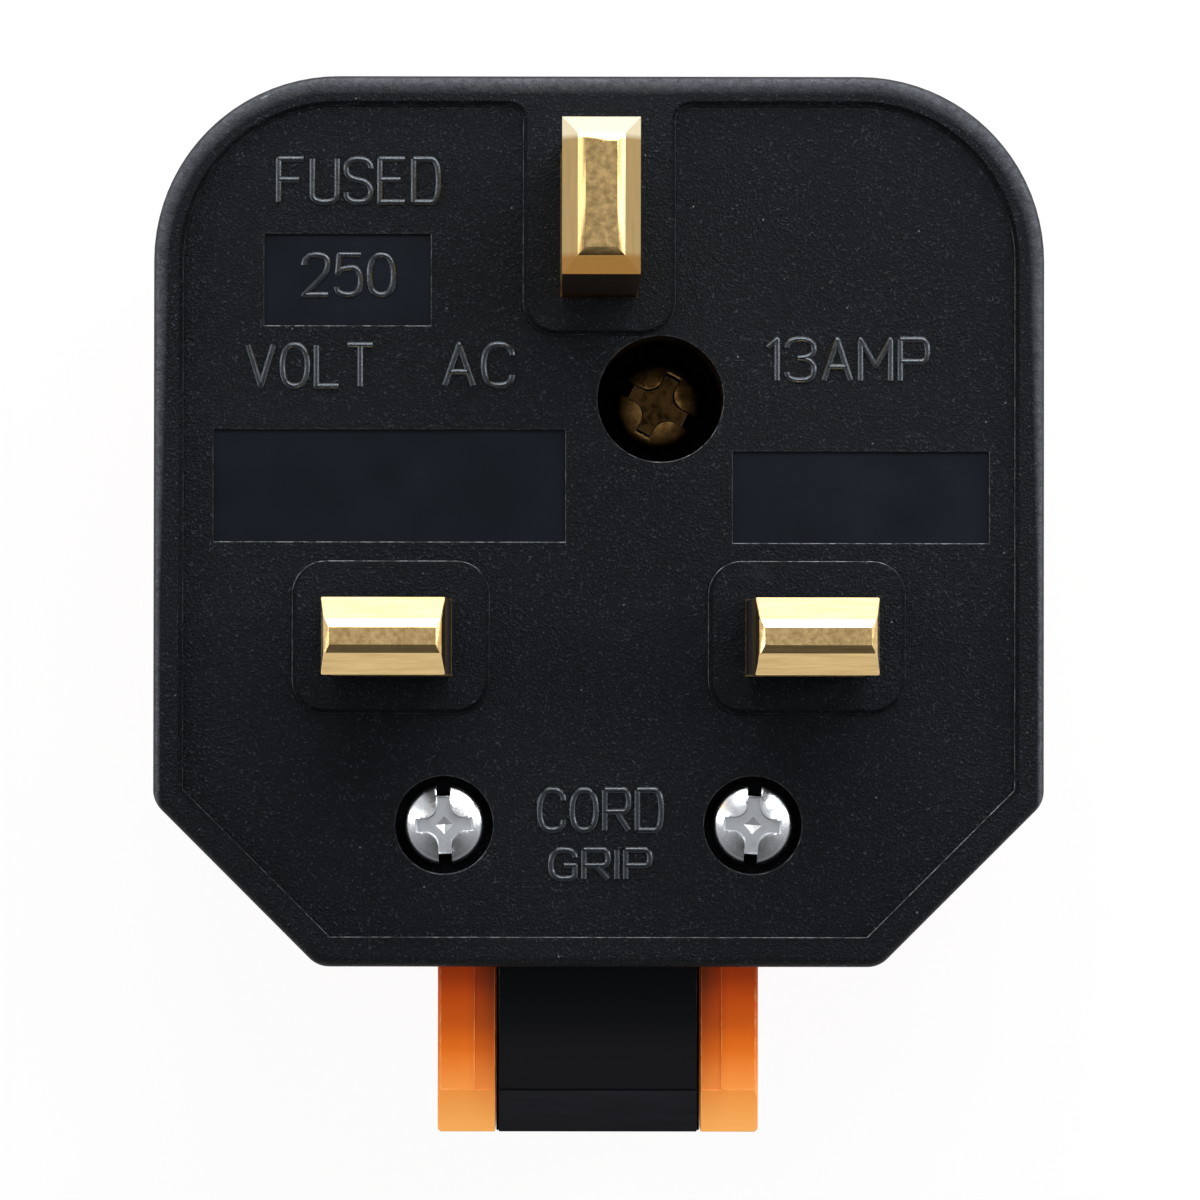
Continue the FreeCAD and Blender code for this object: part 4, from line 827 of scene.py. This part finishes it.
# Letters as strokes in a cell one high and W wide; points steer a smooth curve, a doubled one is a corner
W = 0.56
STROKES = {
    "A": [[(0, 0), (W / 2, 1), (W / 2, 1), (W, 0)], [(0.09, 0.33), (W - 0.09, 0.33)]],
    "C": [[(W, 0.74), (W, 1), (0, 1), (0, 0), (W, 0), (W, 0.26)]],
    "D": [[(0, 0), (0, 1)], [(0, 1), (0.25, 1), (W, 1), (W, 0), (0.25, 0), (0, 0)]],
    "E": [[(W, 1), (0, 1), (0, 1), (0, 0), (0, 0), (W, 0)], [(0, 0.52), (0.46, 0.52)]],
    "F": [[(W, 1), (0, 1), (0, 1), (0, 0)], [(0, 0.52), (0.46, 0.52)]],
    "G": [[(W, 0.74), (W, 1), (0, 1), (0, 0), (W, 0), (W, 0.3), (W, 0.46), (W, 0.46), (0.3, 0.46)]],
    "I": [[(0, 0), (0, 1)]],
    "L": [[(0, 1), (0, 0), (0, 0), (0.5, 0)]],
    "M": [[(0, 0), (0, 1), (0, 1), (0.31, 0.35), (0.31, 0.35), (0.62, 1), (0.62, 1), (0.62, 0)]],
    "O": [[(0, 0.5), (0, 1), (W, 1), (W, 0), (0, 0), (0, 0.5)]],
    "P": [[(0, 0), (0, 1)], [(0, 1), (0.3, 1), (W, 1), (W, 0.46), (0.3, 0.46), (0, 0.46)]],
    "R": [
        [(0, 0), (0, 1)],
        [(0, 1), (0.3, 1), (W, 1), (W, 0.46), (0.3, 0.46), (0, 0.46)],
        [(0.28, 0.46), (W, 0)],
    ],
    "S": [[(W, 0.78), (W, 1), (0, 1), (0, 0.55), (W, 0.47), (W, 0), (0, 0), (0, 0.22)]],
    "T": [[(0, 1), (W, 1)], [(W / 2, 1), (W / 2, 0)]],
    "U": [[(0, 1), (0, 0.36), (0, 0), (W, 0), (W, 0.36), (W, 1)]],
    "V": [[(0, 1), (W / 2, 0), (W / 2, 0), (W, 1)]],
    "0": [[(0, 0.5), (0, 1), (W, 1), (W, 0), (0, 0), (0, 0.5)]],
    "1": [[(0, 0.8), (0.2, 1), (0.2, 1), (0.2, 0)]],
    "2": [[(0, 0.74), (0, 1), (W, 1), (W, 0.62), (0.36, 0.38), (0, 0), (0, 0), (W, 0)]],
    "3": [
        [(0, 0.8), (0, 1), (W, 1), (W, 0.54), (0.22, 0.54)],
        [(0.22, 0.54), (W, 0.54), (W, 0), (0, 0), (0, 0.2)],
    ],
    "5": [
        [(W, 1), (0.06, 1), (0.06, 1), (0.02, 0.52)]
        + [(0.02, 0.52), (0.1, 0.65), (W, 0.7), (W, 0), (0, 0), (0, 0.2)],
    ],
}
LETTER_GAP = 0.2

# Half of a stroke's cross-section in millimetres: reach to the side and height, from its foot to its crown
STROKE_SECTION = ((0.2, -0.05), (0.2, 0.0), (0.105, 0.085), (0.05, 0.11))


def stroke_section():
    """Closed outline that the letters' strokes are swept with."""
    outline = bpy.data.curves.new("stroke_section", "CURVE")
    right = [(x * MM, z * MM) for x, z in STROKE_SECTION]
    left = [(-x, z) for x, z in reversed(right)]
    spline = outline.splines.new("POLY")
    spline.points.add(len(right + left) - 1)
    for point, (x, z) in zip(spline.points, right + left):
        point.co = (x, z, 0, 1)
    spline.use_cyclic_u = True
    section = bpy.data.objects.new("stroke_section", outline)
    scene.collection.objects.link(section)
    return section


def raised_word(section, word, left, right, low, high, level):
    """Raised strokes of a word that fills the box given in millimetres, on a surface at a level."""
    curve = bpy.data.curves.new(word, "CURVE")
    curve.dimensions = "3D"
    curve.resolution_u = 6
    curve.twist_mode = "Z_UP"
    curve.bevel_mode = "OBJECT"
    curve.bevel_object = section
    curve.use_fill_caps = True
    cap = (high - low) * MM
    ends = [max(x for stroke in STROKES[sign] for x, y in stroke) for sign in word]
    natural = sum(ends) + LETTER_GAP * (len(word) - 1)
    stretch = (right - left) * MM / natural
    start = 0.0
    for sign, end in zip(word, ends):
        for stroke in STROKES[sign]:
            spline = curve.splines.new("NURBS")
            spline.points.add(len(stroke) - 1)
            for point, (x, y) in zip(spline.points, stroke):
                point.co = ((start + x) * stretch, y * cap, 0, 1)
            spline.order_u = 3
            spline.use_endpoint_u = True
        start += end + LETTER_GAP
    drawn = bpy.data.objects.new(word, curve)
    scene.collection.objects.link(drawn)
    bpy.context.view_layer.update()
    mesh = bpy.data.meshes.new_from_object(drawn.evaluated_get(bpy.context.evaluated_depsgraph_get()))
    bpy.data.objects.remove(drawn)
    mesh.transform(Matrix.Translation((left * MM, low * MM, level)))
    shape = bmesh.new()
    shape.from_mesh(mesh)
    bmesh.ops.recalc_face_normals(shape, faces=shape.faces)
    name = f"raised_{word.lower()}"
    add_piece(name, finished_mesh(name, shape, 50), black_letters)


# Words with their left, right, low and high edges in millimetres, and the surface they stand on
WORDS = (
    ("FUSED", -17.15, -8.6, 23.25, 25.55, FIELD),
    ("250", -15.8, -11.0, 18.3, 20.45, PANEL),
    ("VOLT", -18.75, -12.1, 13.4, 15.6, FIELD),
    ("AC", -8.25, -4.65, 13.45, 15.65, FIELD),
    ("13AMP", 9.0, 17.55, 13.75, 15.95, FIELD),
    ("CORD", -3.15, 3.35, -10.3, -8.15, FIELD),
    ("GRIP", -2.55, 2.75, -12.9, -11.35, FIELD),
)
stroke = stroke_section()
for word in WORDS:
    raised_word(stroke, *word)
bpy.data.objects.remove(stroke)


# The floor's half breadth in metres, its paleness, and the share of plain white in it where it is seen:
# the rest is lit and takes the shadow
FLOOR_REACH = 3
FLOOR_PALENESS = 0.9
FLOOR_GLOW = 0.94


def studio_floor():
    """White floor that reads as white behind the plug and keeps a faint shadow."""
    shape = bmesh.new()
    bmesh.ops.create_grid(shape, x_segments=1, y_segments=1, size=FLOOR_REACH)
    floor = bpy.data.objects.new("studio_floor", as_mesh("studio_floor", shape))
    scene.collection.objects.link(floor)
    material = bpy.data.materials.new("studio_white")
    material.use_nodes = True
    tree = material.node_tree
    surface = tree.nodes["Principled BSDF"]
    surface.inputs["Base Color"].default_value = (FLOOR_PALENESS, FLOOR_PALENESS, FLOOR_PALENESS, 1)
    surface.inputs["Roughness"].default_value = 0.9
    ray = add_node(tree, "ShaderNodeLightPath").outputs
    seen = ray["Is Camera Ray"]
    for kind in ("Is Glossy Ray", "Is Transmission Ray"):
        seen = add_node(tree, "ShaderNodeMath", {0: seen, 1: ray[kind]}, operation="MAXIMUM").outputs[0]
    share = add_node(tree, "ShaderNodeMath", {0: seen, 1: FLOOR_GLOW}, operation="MULTIPLY").outputs[0]
    glow = add_node(tree, "ShaderNodeEmission").outputs[0]
    mix = add_node(tree, "ShaderNodeMixShader", {0: share, 1: surface.outputs[0], 2: glow}).outputs[0]
    feed(tree, tree.nodes["Material Output"].inputs["Surface"], mix)
    floor.data.materials.append(material)


# Brightness of the surroundings at the sides, behind the two ends and overhead, and the front's dimming
SKY_LEVELS = (0.65, 0.95, 0.46)
FRONT_SHADE = 1.2


def studio_sky():
    """Pale surroundings, bright behind both ends of the plug, dimmer at its sides, dark above the front."""
    world = bpy.data.worlds.new("studio")
    scene.world = world
    world.use_nodes = True
    tree = world.node_tree
    way = add_node(tree, "ShaderNodeTexCoord").outputs["Generated"]
    squared = add_node(tree, "ShaderNodeVectorMath", {0: way, 1: way}, operation="MULTIPLY").outputs[0]
    levels = {0: squared, 1: SKY_LEVELS}
    level = add_node(tree, "ShaderNodeVectorMath", levels, operation="DOT_PRODUCT").outputs["Value"]
    parts = add_node(tree, "ShaderNodeSeparateXYZ", {0: way}).outputs
    slant = add_node(tree, "ShaderNodeMath", {0: parts["Y"], 1: parts["Z"]}, operation="MULTIPLY").outputs[0]
    front = add_node(tree, "ShaderNodeMath", {0: slant, 1: 0.0}, operation="MINIMUM").outputs[0]
    dimmed = {0: front, 1: FRONT_SHADE, 2: level}
    total = add_node(tree, "ShaderNodeMath", dimmed, operation="MULTIPLY_ADD").outputs[0]
    feed(tree, tree.nodes["Background"].inputs["Strength"], total)
    feed(tree, tree.nodes["Background"].inputs["Color"], (1, 1, 1, 1))


def soft_box(name, place, width, height, watts):
    """An area lamp that faces the plug."""
    lamp = bpy.data.lights.new(name, "AREA")
    lamp.shape = "RECTANGLE"
    lamp.size = width
    lamp.size_y = height
    lamp.energy = watts
    holder = bpy.data.objects.new(name, lamp)
    holder.location = place
    holder.rotation_euler = (Vector((0, 0, FACE)) - Vector(place)).to_track_quat("-Z", "Y").to_euler()
    scene.collection.objects.link(holder)


studio_floor()
studio_sky()
soft_box("back_softbox", place=(0.0, 0.2, 0.055), width=0.22, height=0.11, watts=0.14)
soft_box("back_strip", place=(0.0, 0.6, 0.17), width=0.9, height=0.05, watts=0.75)
soft_box("top_softbox", place=(0.02, 0.08, 0.13), width=0.12, height=0.03, watts=0.17)
soft_box("overhead_softbox", place=(0.0, 0.0, 0.8), width=0.25, height=0.25, watts=0.05)
soft_box("left_softbox", place=(-0.45, 0.1, 0.38), width=0.1, height=0.4, watts=0.6)
soft_box("right_softbox", place=(0.2, 0.05, 0.17), width=0.045, height=0.18, watts=0.2)
soft_box("left_strip", place=(-0.6, 0.0, 0.17), width=0.9, height=0.05, watts=1.1)
soft_box("right_strip", place=(0.6, 0.0, 0.17), width=0.9, height=0.05, watts=0.8)

# Camera at the photograph's place: straight above the face, a little off its middle, angles in degrees
IMAGE_WIDTH = 1200
FOCAL_PIXELS = 7331.2
CAMERA_PLACE = (-1.855 * MM, -1.541 * MM, 417.771 * MM)
CAMERA_ANGLES = (0.5174, -0.281, 0.0778)
camera_data = bpy.data.cameras.new("camera")
camera_data.sensor_width = 36
camera_data.lens = FOCAL_PIXELS / IMAGE_WIDTH * camera_data.sensor_width
camera = bpy.data.objects.new("camera", camera_data)
camera.location = CAMERA_PLACE
camera.rotation_euler = Euler([math.radians(angle) for angle in CAMERA_ANGLES])
scene.collection.objects.link(camera)
scene.camera = camera

scene.view_settings.view_transform = "Standard"
